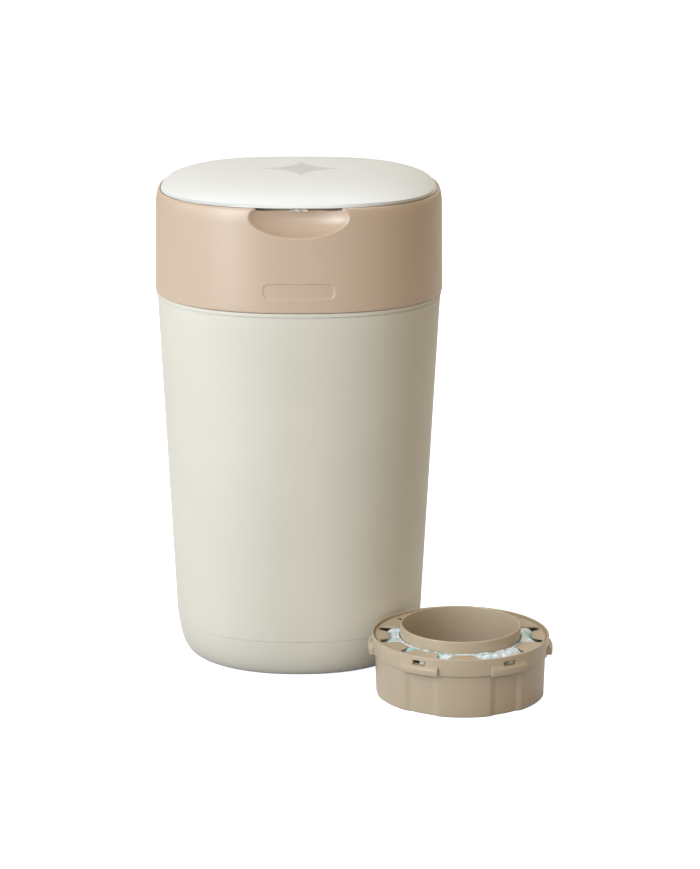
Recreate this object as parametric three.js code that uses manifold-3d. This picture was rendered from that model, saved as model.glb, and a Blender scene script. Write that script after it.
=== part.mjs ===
// Nappy bin with a hinged lid, a twist-ring head and a loose film cassette.
// Millimetres, +Z up. The front faces -Y and the origin is the middle of the tub's flat base.
import * as THREE from "three";
import { mergeVertices } from "three/addons/utils/BufferGeometryUtils.js";
import Module from "manifold-3d";

const wasm = await Module();
wasm.setup();

// Gaps shared by pieces that meet
const seatGap = 0.4;
const slideGap = 0.6;
const pinFit = 0.25;
const overrun = 2;

// Plan outline of the tub, collar and lid: 2 is a circle, more is squarer
const footPower = 2.15;
const planPower = 2.35;
const topPower = 2.42;

// Tub. Its rim radius drives the collar, the lid, the well and the cassette that fits the well.
const tubRimRadius = 126.5;
const tubRimHeight = 330.1;
const tubWall = 2.6;
const tubTaper = 15.4;
const tubFootHeight = 33.6;
const tubFootInset = 13;
const tubFootSweep = 75;
const tubCreaseStep = 0.4;
const beadHeight = 3.6;
const beadProud = 0.8;
const neckHeight = 6.5;
const neckInset = 1.6;

// Collar, the coloured outer shell of the head
const collarWall = 2.6;
const collarOverhang = 1.8;
const collarTaper = 1.3;
const collarHeight = 89.9;
const collarEdgeRound = 1.2;
const shoulderDrop = 14;
const shoulderInset = 3.1;
const rimLip = 0.6;
const ledgeReach = 6;
const ledgeWall = 4.5;

// Finger scoop in the front of the collar
const scoopHalfWidth = 43.4;
const scoopHalfHeight = 17.7;
const scoopDepth = 15;
const scoopCentreDrop = 8.4;
const scoopWall = 2.2;

// Blank plate recessed low on the front of the collar
const plateLength = 60;
const plateHeight = 12.3;
const plateRecess = 0.5;
const plateRise = 17.4;

// Lid
const lidSink = 2.6;
const lidDome = 23.6;
const lidWall = 2.4;
const lidEdgePower = 2.47;
const lidCrownPower = 2.06;
const lidRingShares = [1, 0.99, 0.96, 0.9, 0.79, 0.6, 0.32];

// Lid liner, its seal and the catch in the lid's front edge
const linerWall = 2;
const linerRaise = 2.4;
const linerDrop = 2.6;
const sealWidth = 3;
const catchWidth = 15.5;
const catchHeight = 2.2;
const catchDepth = 7;
const catchRibCount = 3;
const catchRibWidth = 1.2;

// Deck, with the funnel under the lid, and the round well that hangs below it
const deckWall = 2.4;
const funnelMargin = 1.8;
const funnelSlope = 11.5;
const funnelDrop = 9;
const rotorSeatWidth = 7.5;
const rotorSeatDepth = 3.4;
const wellLedge = 25;
const wellFlangeWidth = 6;
const wellFlangeWall = 2;

// Base plate of the head, with the seal under it and the screws through it
const headBaseWall = 2.4;
const rimSealHeight = 1.4;
const rimSealWidth = 2.4;
const screwRadius = 1.6;
const screwHeadRadius = 3.4;
const screwHeadHeight = 2;
const screwLength = 11;
const screwSlotWidth = 1;
const screwCount = 4;
const screwTurnShare = 1 / 12;
const bossRadius = 4.4;

// Rotor, the ring that the hand twists
const rotorWall = 5.6;
const rotorFlangeHeight = 3;
const rotorDepth = 47;
const rotorGap = 0.8;
const paddleCount = 3;
const paddleSpan = 24;
const paddleHeight = 8;
const paddleThickness = 4.6;
const paddleDraft = 1;
const bayonetSlack = 1.5;
const bayonetTurn = 14;
const toothCount = 24;
const toothDepth = 1.9;
const toothHeight = 8;
const toothRise = 3;
const toothCrestShare = 0.12;

// Click finger that rides on the rotor's teeth
const fingerLength = 27;
const fingerTipWidth = 1.2;
const fingerThickness = 1.8;
const fingerHeight = 6.4;
const fingerPostRadius = 3.2;
const fingerPinRadius = 1.4;
const fingerWindowMargin = 1.6;

// Film grip, a ring of springy fingers below the chute
const gripFlangeWidth = 9;
const gripWall = 1.2;
const gripFingerCount = 8;
const gripSlotWidth = 4;
const gripTipRadius = 22;
const gripTipDrop = 15;

// Cutter that slides across under the grip
const railMargin = 7;
const railWidth = 5;
const railEndGap = 24.3;
const railHeight = 25;
const railGrooveDepth = 2;
const railGrooveHeight = 3.2;
const railGrooveRise = 3;
const cutterWidth = 26;
const cutterWall = 2.2;
const cutterEndGap = 2;
const cutterGripLength = 34;
const cutterGripThickness = 5;
const cutterGripHeight = 12;
const bladeWidth = 8;
const bladeThickness = 0.6;
const bladeBevel = 1.8;
const bladeEndMargin = 12;
const bladeProud = 4;

// Hinges at the back
const knuckleGap = 0.6;
const lidPinRadius = 1.8;
const lidKnuckleRadius = 4.6;
const lidPinSetback = 4.3;
const lidPinRise = 1;
const lidKnuckleWidth = 16;
const lidMiddleWidth = 30;
const lidLugWidth = 9;
const lidLugDrop = 17;
const lidArmLength = 7.5;
const headPinRadius = 2;
const headKnuckleRadius = 4.5;
const headMiddleWidth = 46;
const headLugWidth = 15;
const headLugRise = 16;
const tubLugDrop = 17;

// Cassette, standing on the floor beside the tub
const cassetteStandOff = 0.3;
const cassetteDraft = 1;
const cassetteWall = 1.8;
const troughWidth = 22.4;
const coreWall = 1.8;
const coreHeight = 61;
const coreEdge = 0.6;
const coreFlangeWidth = 3;
const coreFlangeWall = 1.2;
const lugCount = 6;
const fluteSpan = 26;
const fluteFlank = 5;
const fluteDepth = 2.4;
const fluteTopFade = 3;

// Cover of the cassette, with its bayonet lugs and windows
const wellFit = 1.1;
const coverFit = 0.9;
const coverWall = 1.6;
const coverTop = 53;
const coverSkirtHeight = 15;
const coverRimWidth = 1.6;
const coverPlateDrop = 1.8;
const coverPlateWall = 1.5;
const lugProud = 3.2;
const lugHeight = 8.5;
const lugSlope = 3.4;
const lugSpan = 26;
const windowSpan = 9;
const windowHeight = 4;
const windowGap = 0.8;
const hookSpan = 6.4;
const hookHeight = 2.6;
const hookReach = 0.5;
const landGap = 4.2;
const lobeGap = 5.6;
const shortLobeGap = 9.8;
const windowMargin = 4.4;
const sideWindowMargin = 2.4;

// Pleated film in the cassette
const filmGap = 0.9;
const filmTopDrop = 1.4;
const filmPleatCount = 4;
const filmPleatDepth = 2;

// Facet counts
const planSides = 40;
const roundSides = 40;
const filmSides = 36;
const smallSides = 12;
const footSteps = 5;
const shoulderSteps = 4;
const petalSteps = 120;

// Radii, heights and places that follow from the sizes above
const tubFootRadius = tubRimRadius - tubTaper;
const tubBaseRadius = tubFootRadius - tubFootInset;
const beadTop = tubRimHeight + beadHeight;
const neckTop = beadTop + neckHeight;
const neckRadius = tubRimRadius - neckInset;
const collarRadius = tubRimRadius + collarOverhang;
const collarTopRadius = collarRadius - collarTaper;
const rebateRadius = collarTopRadius - shoulderInset - rimLip;
const lidRadius = rebateRadius - slideGap;
const collarBase = beadTop + seatGap;
const collarTop = collarBase + collarHeight;
const lidBase = collarTop - lidSink;
const lidTop = lidBase + lidDome;
const ledgeTop = lidBase - seatGap;
const ledgeBottom = ledgeTop - ledgeWall;
const deckTop = ledgeBottom - seatGap;
const funnelBottom = deckTop - funnelDrop;
const rotorSeat = funnelBottom - rotorSeatDepth;
const headBaseLow = neckTop + 2 * seatGap + rimSealHeight;
const headBaseTop = headBaseLow + headBaseWall;
const wellFloor = headBaseTop + 2 * seatGap + gripWall;
const linerRadius = collarTopRadius - scoopDepth - scoopWall - slideGap;
const funnelRadius = linerRadius - sealWidth - seatGap - funnelMargin;
const rotorSeatRadius = funnelRadius - funnelSlope;
const wellRadius = rotorSeatRadius - rotorSeatWidth;
const chuteRadius = wellRadius - wellLedge;
const rotorOuter = wellRadius - rotorGap;
const rotorInner = rotorOuter - rotorWall;
const rotorLow = rotorSeat + seatGap - rotorDepth;
const fingerLow = rotorLow + toothRise + (toothHeight - fingerHeight) / 2;
const fingerHigh = fingerLow + fingerHeight;
const fingerX = wellRadius + deckWall + fingerPostRadius + slideGap;
const fingerY = fingerLength / 2;
const fingerWindow = fingerLength / 2 - fingerPostRadius - fingerWindowMargin;
const railInset = chuteRadius + railMargin;
const railHalfLength = neckRadius - tubWall - railEndGap;
const railGrooveHalf = railHalfLength - railWidth;
const railLow = headBaseLow - railHeight;
const cutterLow = railLow + railGrooveRise + (railGrooveHeight - cutterWall) / 2;
const cutterTop = cutterLow + cutterWall;
const cutterStart = railGrooveHalf - cutterEndGap - cutterWidth;
const lidHingeY = lidRadius + lidPinSetback;
const lidHingeZ = lidBase + lidPinRise;
const headHingeY = collarRadius + headKnuckleRadius + slideGap;
const headHingeZ = collarBase;
const lidPinReach = lidMiddleWidth / 2 + 2 * knuckleGap + lidKnuckleWidth + lidLugWidth;
const headPinReach = headMiddleWidth / 2 + knuckleGap + headLugWidth;
const coverRadius = rotorInner - wellFit;
const cassetteRadius = coverRadius - coverWall - coverFit;
const coreRadius = cassetteRadius - troughWidth;
const skirtLow = coverTop - coverSkirtHeight;
const coverPlateTop = coverTop - coverPlateDrop;
const cassetteTubTop = coverPlateTop - coverPlateWall - seatGap;
const coreFlangeLow = cassetteWall + seatGap;
const coreFlangeTop = coreFlangeLow + coreFlangeWall;
const lugOuter = coverRadius + lugProud;

// Materials
const materials = {
  cream: new THREE.MeshStandardMaterial({ color: 0xe4e2d6, roughness: 0.42, metalness: 0 }),
  rose: new THREE.MeshStandardMaterial({ color: 0xd3b9a2, roughness: 0.4, metalness: 0 }),
  inner: new THREE.MeshStandardMaterial({ color: 0xe9e6df, roughness: 0.5, metalness: 0 }),
  taupe: new THREE.MeshStandardMaterial({ color: 0xc9bca8, roughness: 0.45, metalness: 0 }),
  film: new THREE.MeshStandardMaterial({ color: 0x9fd6d8, roughness: 0.25, metalness: 0 }),
  rubber: new THREE.MeshStandardMaterial({ color: 0x8c857b, roughness: 0.8, metalness: 0 }),
  steel: new THREE.MeshStandardMaterial({ color: 0xc4c7ca, roughness: 0.28, metalness: 1 }),
};

const bin = new THREE.Group();

function degrees(value) {
  return THREE.MathUtils.degToRad(value);
}

// A closed geometry as a solid: shared points merged, empty triangles dropped, faces turned outward.
function solid(geometry) {
  const bare = geometry.clone();
  bare.deleteAttribute("normal");
  bare.deleteAttribute("uv");
  const merged = mergeVertices(bare, 1e-3);
  const vertProperties = merged.attributes.position.array;
  const index = merged.index.array;
  const kept = [];
  for (let i = 0; i < index.length; i += 3) {
    const [a, b, c] = [index[i], index[i + 1], index[i + 2]];
    if (a !== b && b !== c && c !== a) kept.push(a, b, c);
  }
  const made = new wasm.Manifold(
    new wasm.Mesh({ numProp: 3, vertProperties, triVerts: new Uint32Array(kept) }),
  );
  if (made.volume() > 0) return made;
  const turnedOut = new Uint32Array(kept.reverse());
  return new wasm.Manifold(new wasm.Mesh({ numProp: 3, vertProperties, triVerts: turnedOut }));
}

function place(name, shape, material, group = bin) {
  const made = shape.getMesh();
  const geometry = new THREE.BufferGeometry();
  geometry.setAttribute("position", new THREE.Float32BufferAttribute(made.vertProperties, made.numProp));
  geometry.setIndex(new THREE.BufferAttribute(made.triVerts, 1));
  geometry.computeVertexNormals();
  const mesh = new THREE.Mesh(geometry, material);
  mesh.name = name;
  group.add(mesh);
}

function join(parts) {
  return parts.reduce((whole, part) => whole.add(part));
}

function cut(whole, tools) {
  return tools.reduce((left, tool) => left.subtract(tool), whole);
}

function between(low, high, share) {
  return low + (high - low) * share;
}

function evenAngles(sides) {
  return Array.from({ length: sides }, (_, i) => (i / sides) * 2 * Math.PI);
}

// Radius of a rounded square of half-width one.
function squircle(angle, power) {
  const sum = Math.abs(Math.cos(angle)) ** power + Math.abs(Math.sin(angle)) ** power;
  return 1 / sum ** (1 / power);
}

function ring(r, z, power = 2) {
  return { z, radiusAt: (angle) => r * squircle(angle, power) };
}

function axisPoint(z) {
  return { z, onAxis: true };
}

// A solid skinned over rings about the Z axis. It starts and ends at points on the axis, or closes
// on its first ring.
function loft(rings, angles = evenAngles(planSides)) {
  const points = [];
  const starts = [];
  for (const { z, onAxis, radiusAt } of rings) {
    starts.push(points.length / 3);
    if (onAxis) {
      points.push(0, 0, z);
      continue;
    }
    for (const angle of angles) {
      const radius = radiusAt(angle);
      points.push(radius * Math.cos(angle), radius * Math.sin(angle), z);
    }
  }
  const faces = [];
  rings.forEach((low, i) => {
    const next = (i + 1) % rings.length;
    const high = rings[next];
    if (low.onAxis && high.onAxis) return;
    for (let j = 0; j < angles.length; j += 1) {
      const k = (j + 1) % angles.length;
      const [a, b] = low.onAxis ? [starts[i], starts[i]] : [starts[i] + j, starts[i] + k];
      const [d, c] = high.onAxis ? [starts[next], starts[next]] : [starts[next] + j, starts[next] + k];
      if (!low.onAxis) faces.push(a, b, c);
      if (!high.onAxis) faces.push(a, c, d);
    }
  });
  const geometry = new THREE.BufferGeometry();
  geometry.setAttribute("position", new THREE.Float32BufferAttribute(points, 3));
  geometry.setIndex(faces);
  return solid(geometry);
}

// A ring or tube about Z, from a closed profile of [radius, height] pairs.
function revolve(profile, sides = roundSides) {
  const outline = [...profile, profile[0]].map(([r, z]) => new THREE.Vector2(r, z));
  return solid(new THREE.LatheGeometry(outline, sides).rotateX(Math.PI / 2));
}

function disc(radius, low, high, x = 0, y = 0) {
  const round = new THREE.CylinderGeometry(radius, radius, high - low, smallSides);
  return solid(round.rotateX(Math.PI / 2).translate(x, y, (high + low) / 2));
}

function rodAlongX(radius, x0, x1, y, z) {
  const round = new THREE.CylinderGeometry(radius, radius, x1 - x0, smallSides);
  return solid(round.rotateZ(Math.PI / 2).translate((x0 + x1) / 2, y, z));
}

function block(x0, x1, y0, y1, z0, z1) {
  const box = new THREE.BoxGeometry(x1 - x0, y1 - y0, z1 - z0);
  return solid(box.translate((x0 + x1) / 2, (y0 + y1) / 2, (z0 + z1) / 2));
}

// An outline in the XY plane, raised from one height to another.
function raise(shape, low, high, curveSegments = smallSides) {
  const options = { depth: high - low, bevelEnabled: false, curveSegments };
  return solid(new THREE.ExtrudeGeometry(shape, options).translate(0, 0, low));
}

// An outline whose X runs along +Y and whose Y runs up, extended along X.
function extendAlongX(shape, x0, x1) {
  const options = { depth: x1 - x0, bevelEnabled: false, curveSegments: smallSides / 2 };
  const bar = new THREE.ExtrudeGeometry(shape, options);
  return solid(bar.rotateX(Math.PI / 2).rotateZ(Math.PI / 2).translate(x0, 0, 0));
}

// A stretch of a round wall about Z, between two radii and two angles in degrees.
function sector(inner, outer, low, high, from, to, steps = 3) {
  const shape = new THREE.Shape();
  shape.absarc(0, 0, outer, degrees(from), degrees(to), false);
  shape.absarc(0, 0, inner, degrees(to), degrees(from), true);
  return raise(shape, low, high, steps);
}

// The eye of a hinge: a round boss with a bore, and a web that runs to the wall that carries it.
function hingeEye({ y, z, radius, bore, wallY, nearZ, farZ }) {
  const shape = new THREE.Shape();
  const rootIsBelow = farZ < z;
  shape.moveTo(wallY, farZ);
  shape.lineTo(wallY, nearZ);
  shape.lineTo(y - radius, z);
  shape.absarc(y, z, radius, Math.PI, 0, rootIsBelow);
  shape.closePath();
  const hole = new THREE.Path();
  hole.absarc(y, z, bore, 0, 2 * Math.PI, !rootIsBelow);
  shape.holes.push(hole);
  return shape;
}

function mirroredSpans(from, to) {
  return [[from, to], [-to, -from]];
}

// The tub

function tubRadiusAt(z) {
  const share = (z - tubFootHeight) / (tubRimHeight - tubFootHeight);
  return between(tubFootRadius + tubCreaseStep, tubRimRadius, share);
}

// The rounded foot, from its flat bottom up to the crease, set in by a wall. Its base is nearer to round.
function footRings(wall) {
  const sweep = degrees(tubFootSweep);
  return Array.from({ length: footSteps + 1 }, (_, i) => {
    const turn = (i / footSteps) * sweep;
    const out = Math.sin(turn) / Math.sin(sweep);
    const up = (1 - Math.cos(turn)) / (1 - Math.cos(sweep));
    const r = between(tubBaseRadius, tubFootRadius, out) - wall;
    return ring(r, between(wall, tubFootHeight, up), between(footPower, planPower, out));
  });
}

function makeTub() {
  const at = (r, z) => ring(r, z, planPower);
  const shell = loft([
    axisPoint(0),
    ...footRings(0),
    at(tubRadiusAt(tubFootHeight), tubFootHeight + tubCreaseStep),
    at(tubRimRadius, tubRimHeight),
    at(tubRimRadius + beadProud, tubRimHeight + beadProud),
    at(tubRimRadius + beadProud, beadTop),
    at(neckRadius, beadTop),
    at(neckRadius, neckTop),
    at(neckRadius - tubWall, neckTop),
    at(neckRadius - tubWall, tubRimHeight),
    at(tubRadiusAt(tubRimHeight - neckHeight) - tubWall, tubRimHeight - neckHeight),
    ...footRings(tubWall).reverse(),
    axisPoint(tubWall),
  ]);
  const from = headMiddleWidth / 2 + knuckleGap;
  const eye = hingeEye({
    y: headHingeY,
    z: headHingeZ,
    radius: headKnuckleRadius,
    bore: headPinRadius + pinFit,
    wallY: tubRimRadius - tubWall / 2,
    nearZ: tubRimHeight + beadHeight / 2,
    farZ: headHingeZ - tubLugDrop,
  });
  const eyes = mirroredSpans(from, from + headLugWidth).map(([x0, x1]) => extendAlongX(eye, x0, x1));
  return join([shell, ...eyes]);
}

// The head's shell

// The collar's outside, from its lower edge to the top of its shoulder, set in by some depth.
function collarOutside(inset = 0) {
  const shoulder = Array.from({ length: shoulderSteps + 1 }, (_, i) => {
    const turn = (i / shoulderSteps) * (Math.PI / 2);
    const r = collarTopRadius - shoulderInset * (1 - Math.cos(turn));
    return ring(r - inset, collarTop - shoulderDrop * (1 - Math.sin(turn)), topPower);
  });
  return [
    ring(collarRadius - collarEdgeRound - inset, collarBase, planPower),
    ring(collarRadius - inset, collarBase + collarEdgeRound, planPower),
    ...shoulder,
  ];
}

function filled(rings) {
  return loft([axisPoint(collarBase), ...rings, axisPoint(collarTop)]);
}

// The finger scoop's hollow, grown by a wall.
function scoop(wall) {
  const ball = new THREE.SphereGeometry(1, 2 * smallSides, smallSides);
  ball.scale(scoopHalfWidth + wall, scoopDepth + wall, scoopHalfHeight + wall);
  return solid(ball.translate(0, -collarTopRadius, collarTop - scoopCentreDrop));
}

// The blank plate: a bar with round ends, sunk a little way into the collar's front.
function plateHollow() {
  const shape = new THREE.Shape();
  const radius = plateHeight / 2;
  const reach = plateLength / 2 - radius;
  shape.absarc(reach, 0, radius, -Math.PI / 2, Math.PI / 2, false);
  shape.absarc(-reach, 0, radius, Math.PI / 2, 1.5 * Math.PI, false);
  const options = { depth: collarRadius + overrun, bevelEnabled: false, curveSegments: smallSides / 2 };
  const bar = new THREE.ExtrudeGeometry(shape, options);
  const tool = solid(bar.rotateX(Math.PI / 2).translate(0, 0, collarBase + plateRise));
  return tool.subtract(filled(collarOutside(plateRecess)));
}

// Where the lid's own knuckles and arms need room in the collar's rim.
function lidKnuckleSpans() {
  const from = lidMiddleWidth / 2;
  return mirroredSpans(from, from + lidKnuckleWidth + 2 * knuckleGap);
}

function lidLugSpans() {
  const half = lidMiddleWidth / 2;
  const from = half + lidKnuckleWidth + 2 * knuckleGap;
  return [[-half, half], ...mirroredSpans(from, from + lidLugWidth)];
}

function makeCollar() {
  const shell = loft([
    ...collarOutside(),
    ring(rebateRadius, collarTop, topPower),
    ring(rebateRadius, ledgeTop, topPower),
    ring(rebateRadius - ledgeReach, ledgeTop, topPower),
    ring(rebateRadius - ledgeReach, ledgeBottom, topPower),
    ring(collarTopRadius - collarWall, ledgeBottom, topPower),
    ring(collarTopRadius - collarWall, collarTop - shoulderDrop, topPower),
    ring(collarRadius - collarWall, collarBase, planPower),
  ]);
  const pocket = scoop(scoopWall).intersect(filled(collarOutside()));
  const lidRoom = loft([
    axisPoint(ledgeTop),
    ring(rebateRadius, ledgeTop, topPower),
    ring(rebateRadius, collarTop + overrun, topPower),
    axisPoint(collarTop + overrun),
  ]);
  const body = cut(join([shell, pocket]), [scoop(0), plateHollow(), lidRoom]);
  const lidBore = lidPinRadius + pinFit;
  const lidEye = hingeEye({
    y: lidHingeY,
    z: lidHingeZ,
    radius: lidKnuckleRadius,
    bore: lidBore,
    wallY: collarTopRadius - collarWall / 2,
    nearZ: ledgeBottom,
    farZ: lidHingeZ - lidLugDrop,
  });
  const lidEyes = lidLugSpans().map(([x0, x1]) => extendAlongX(lidEye, x0, x1));
  const headEye = hingeEye({
    y: headHingeY,
    z: headHingeZ,
    radius: headKnuckleRadius,
    bore: headPinRadius + pinFit,
    wallY: collarRadius - collarWall / 2,
    nearZ: collarBase + collarEdgeRound,
    farZ: headHingeZ + headLugRise,
  });
  const headKnuckle = extendAlongX(headEye, -headMiddleWidth / 2, headMiddleWidth / 2);
  const rooms = lidKnuckleSpans().flatMap(([x0, x1]) => [
    rodAlongX(lidKnuckleRadius + slideGap, x0, x1, lidHingeY, lidHingeZ),
    block(x0, x1, lidHingeY - lidArmLength - slideGap, lidHingeY, ledgeTop, collarTop + overrun),
  ]);
  const pinRoom = rodAlongX(lidBore, -lidPinReach, lidPinReach, lidHingeY, lidHingeZ);
  return cut(join([body, headKnuckle, ...lidEyes]), [...rooms, pinRoom]);
}

function screwPlaces() {
  const radius = wellRadius + deckWall / 2 + bossRadius;
  return Array.from({ length: screwCount }, (_, i) => {
    const angle = (i / screwCount + screwTurnShare) * 2 * Math.PI;
    return [radius * Math.cos(angle), radius * Math.sin(angle)];
  });
}

// The deck: a flat rim, a funnel and the seat that the rotor turns on.
function makeDeck() {
  const rimRadius = collarTopRadius - collarWall - seatGap;
  const outerSeat = rotorSeatRadius + deckWall;
  const body = loft([
    ring(rimRadius, deckTop, topPower),
    ring(funnelRadius, deckTop),
    ring(rotorSeatRadius, funnelBottom),
    ring(rotorSeatRadius, rotorSeat),
    ring(wellRadius, rotorSeat),
    ring(wellRadius, rotorSeat - deckWall),
    ring(outerSeat, rotorSeat - deckWall),
    ring(outerSeat, funnelBottom - deckWall),
    ring(funnelRadius, deckTop - deckWall),
    ring(rimRadius, deckTop - deckWall, topPower),
  ]);
  return body.subtract(scoop(scoopWall + seatGap));
}

// The well: a cup for the cassette with the chute's hole, a flange under the deck's seat, screw
// bosses, and the click finger's shelf, post and opening.
function makeWell() {
  const outerWell = wellRadius + deckWall;
  const top = rotorSeat - deckWall - seatGap;
  const flangeRadius = outerWell + wellFlangeWidth;
  const body = revolve([
    [wellRadius, top],
    [wellRadius, wellFloor + deckWall],
    [chuteRadius, wellFloor + deckWall],
    [chuteRadius, wellFloor],
    [outerWell, wellFloor],
    [outerWell, top - wellFlangeWall],
    [flangeRadius, top - wellFlangeWall],
    [flangeRadius, top],
  ]);
  const shelf = block(
    wellRadius + deckWall / 2,
    fingerX + fingerPostRadius,
    fingerY - fingerPostRadius,
    fingerY + fingerPostRadius,
    wellFloor,
    fingerLow - seatGap,
  );
  const post = disc(fingerPinRadius, wellFloor, fingerHigh + slideGap, fingerX, fingerY);
  const bossLow = headBaseTop + seatGap;
  const bosses = screwPlaces().map(([x, y]) => disc(bossRadius, bossLow, wellFloor + screwLength, x, y));
  const bores = screwPlaces().map(([x, y]) => {
    return disc(screwRadius + pinFit, headBaseLow, headBaseTop + screwLength, x, y);
  });
  const fingerOpening = block(
    rotorInner,
    outerWell + overrun,
    -fingerWindow,
    fingerWindow,
    fingerLow - slideGap,
    fingerHigh + slideGap,
  );
  return cut(join([body, shelf, post, ...bosses]), [fingerOpening, ...bores]);
}

// The base plate closes the head from below and carries the cutter's two rails.
function makeHeadBase() {
  const rimRadius = collarRadius - collarWall - slideGap;
  const plate = loft([
    ring(rimRadius, headBaseLow, planPower),
    ring(rimRadius, headBaseTop, planPower),
    ring(chuteRadius, headBaseTop),
    ring(chuteRadius, headBaseLow),
  ]);
  const rails = mirroredSpans(railInset, railInset + railWidth).map(([y0, y1]) => {
    return block(-railHalfLength, railHalfLength, y0, y1, railLow, headBaseTop - headBaseWall / 2);
  });
  const grooveLow = railLow + railGrooveRise;
  const grooves = mirroredSpans(railInset - overrun, railInset + railGrooveDepth).map(([y0, y1]) => {
    return block(-railGrooveHalf, railGrooveHalf, y0, y1, grooveLow, grooveLow + railGrooveHeight);
  });
  const holes = screwPlaces().map(([x, y]) => {
    return disc(screwRadius + pinFit, headBaseLow - overrun, headBaseTop + overrun, x, y);
  });
  return cut(join([plate, ...rails]), [...grooves, ...holes]);
}

function makeRimSeal() {
  const low = neckTop + seatGap;
  const high = headBaseLow - seatGap;
  return loft([
    ring(neckRadius, low, planPower),
    ring(neckRadius, high, planPower),
    ring(neckRadius - rimSealWidth, high, planPower),
    ring(neckRadius - rimSealWidth, low, planPower),
  ]);
}

function makeScrew(x, y) {
  const headTop = headBaseLow - seatGap;
  const head = disc(screwHeadRadius, headTop - screwHeadHeight, headTop, x, y);
  const shank = disc(screwRadius, headTop - screwHeadHeight / 2, headBaseTop + screwLength - seatGap, x, y);
  const slotTop = headTop - screwHeadHeight / 2;
  const slotLow = headTop - screwHeadHeight - overrun;
  const half = screwSlotWidth / 2;
  const slot = block(x - screwHeadRadius, x + screwHeadRadius, y - half, y + half, slotLow, slotTop);
  return cut(join([head, shank]), [slot]);
}

// The rotor and its click

function makeRotor() {
  const flangeLow = rotorSeat + seatGap;
  const flangeTop = flangeLow + rotorFlangeHeight;
  const flangeRadius = rotorSeatRadius - slideGap;
  const body = revolve([
    [rotorInner, rotorLow],
    [rotorOuter, rotorLow],
    [rotorOuter, flangeLow],
    [flangeRadius, flangeLow],
    [flangeRadius, flangeTop],
    [rotorInner, flangeTop],
  ]);
  // Each bayonet slot lets a lug in from the top, then runs to one side and traps it.
  const slotOuter = lugOuter + slideGap;
  const slotLow = wellFloor + deckWall + skirtLow;
  const slotTop = slotLow + lugHeight + 2 * slideGap;
  const slots = lugAngles().flatMap((middle) => {
    const from = middle - lugSpan / 2 - bayonetSlack;
    const to = middle + lugSpan / 2 + bayonetSlack;
    return [
      sector(rotorInner - overrun, slotOuter, slotLow, flangeTop + overrun, from, to),
      sector(rotorInner - overrun, slotOuter, slotLow, slotTop, from, to + bayonetTurn),
    ];
  });
  const paddleOuter = flangeRadius - paddleDraft;
  const paddleInner = paddleOuter - paddleThickness;
  const paddles = Array.from({ length: paddleCount }, (_, i) => {
    const middle = ((i + 0.5) / paddleCount) * 360 + bayonetTurn / 2;
    const half = paddleSpan / 2;
    const low = flangeTop - rotorFlangeHeight / 2;
    const high = flangeTop + paddleHeight;
    const footTop = flangeTop + paddleDraft;
    const foot = sector(paddleInner, paddleOuter, low, footTop, middle - half, middle + half);
    const slim = half - paddleDraft;
    const vane = sector(paddleInner + paddleDraft, paddleOuter, low, high, middle - slim, middle + slim);
    return foot.add(vane);
  });
  return cut(join([body, ...paddles]), [...slots, toothHollows()]);
}

// The teeth's hollows: a ring outside them, with saw teeth along its bore.
function toothHollows() {
  const low = rotorLow + toothRise;
  const root = rotorOuter - toothDepth;
  const shape = new THREE.Shape();
  shape.absarc(0, 0, rotorOuter + overrun, 0, 2 * Math.PI, false);
  const bore = new THREE.Path();
  const corners = [
    [root, 0],
    [root, toothCrestShare],
    [rotorOuter, 1 - toothCrestShare],
    [rotorOuter, 1 - toothCrestShare / 4],
  ];
  const points = [];
  for (let i = 0; i < toothCount; i += 1) {
    for (const [radius, share] of corners) {
      const angle = ((i + 0.5 + share) / toothCount) * 2 * Math.PI;
      points.push(new THREE.Vector2(radius * Math.cos(angle), radius * Math.sin(angle)));
    }
  }
  bore.setFromPoints([...points, points[0]]);
  shape.holes.push(bore);
  return raise(shape, low, low + toothHeight, roundSides / 2);
}

// The finger: an eye on the deck's post, and a springy arm whose nose drops between two teeth.
function makeClickFinger() {
  const eye = disc(fingerPostRadius, fingerLow, fingerHigh, fingerX, fingerY);
  const armInner = fingerX - fingerThickness / 2;
  const endY = -fingerWindow + fingerTipWidth;
  const arm = block(armInner, armInner + fingerThickness, endY, fingerY, fingerLow, fingerHigh);
  const noseTip = rotorOuter - toothDepth + seatGap;
  const nose = new THREE.Shape();
  nose.moveTo(armInner + fingerThickness / 2, endY);
  nose.lineTo(noseTip, endY + fingerTipWidth / 2);
  nose.lineTo(noseTip, endY + fingerTipWidth);
  nose.lineTo(armInner + fingerThickness / 2, endY + 3 * fingerTipWidth);
  nose.closePath();
  const bore = disc(fingerPinRadius + pinFit, fingerLow - overrun, fingerHigh + overrun, fingerX, fingerY);
  return cut(join([eye, arm, raise(nose, fingerLow, fingerHigh)]), [bore]);
}

// Under the chute

function makeFilmGrip() {
  const high = wellFloor - seatGap;
  const low = high - gripWall;
  const tipLow = low - gripTipDrop;
  const rootRadius = chuteRadius - gripWall;
  const body = revolve([
    [chuteRadius + gripFlangeWidth, low],
    [chuteRadius + gripFlangeWidth, high],
    [rootRadius, high],
    [gripTipRadius, tipLow + gripWall],
    [gripTipRadius, tipLow],
    [rootRadius - gripWall, low],
  ]);
  const slots = Array.from({ length: gripFingerCount }, (_, i) => {
    const half = gripSlotWidth / 2;
    const slot = block(0, rootRadius - 2 * gripWall, -half, half, tipLow - overrun, high + overrun);
    return slot.rotate([0, 0, (i / gripFingerCount) * 360]);
  });
  return cut(body, slots);
}

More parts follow.
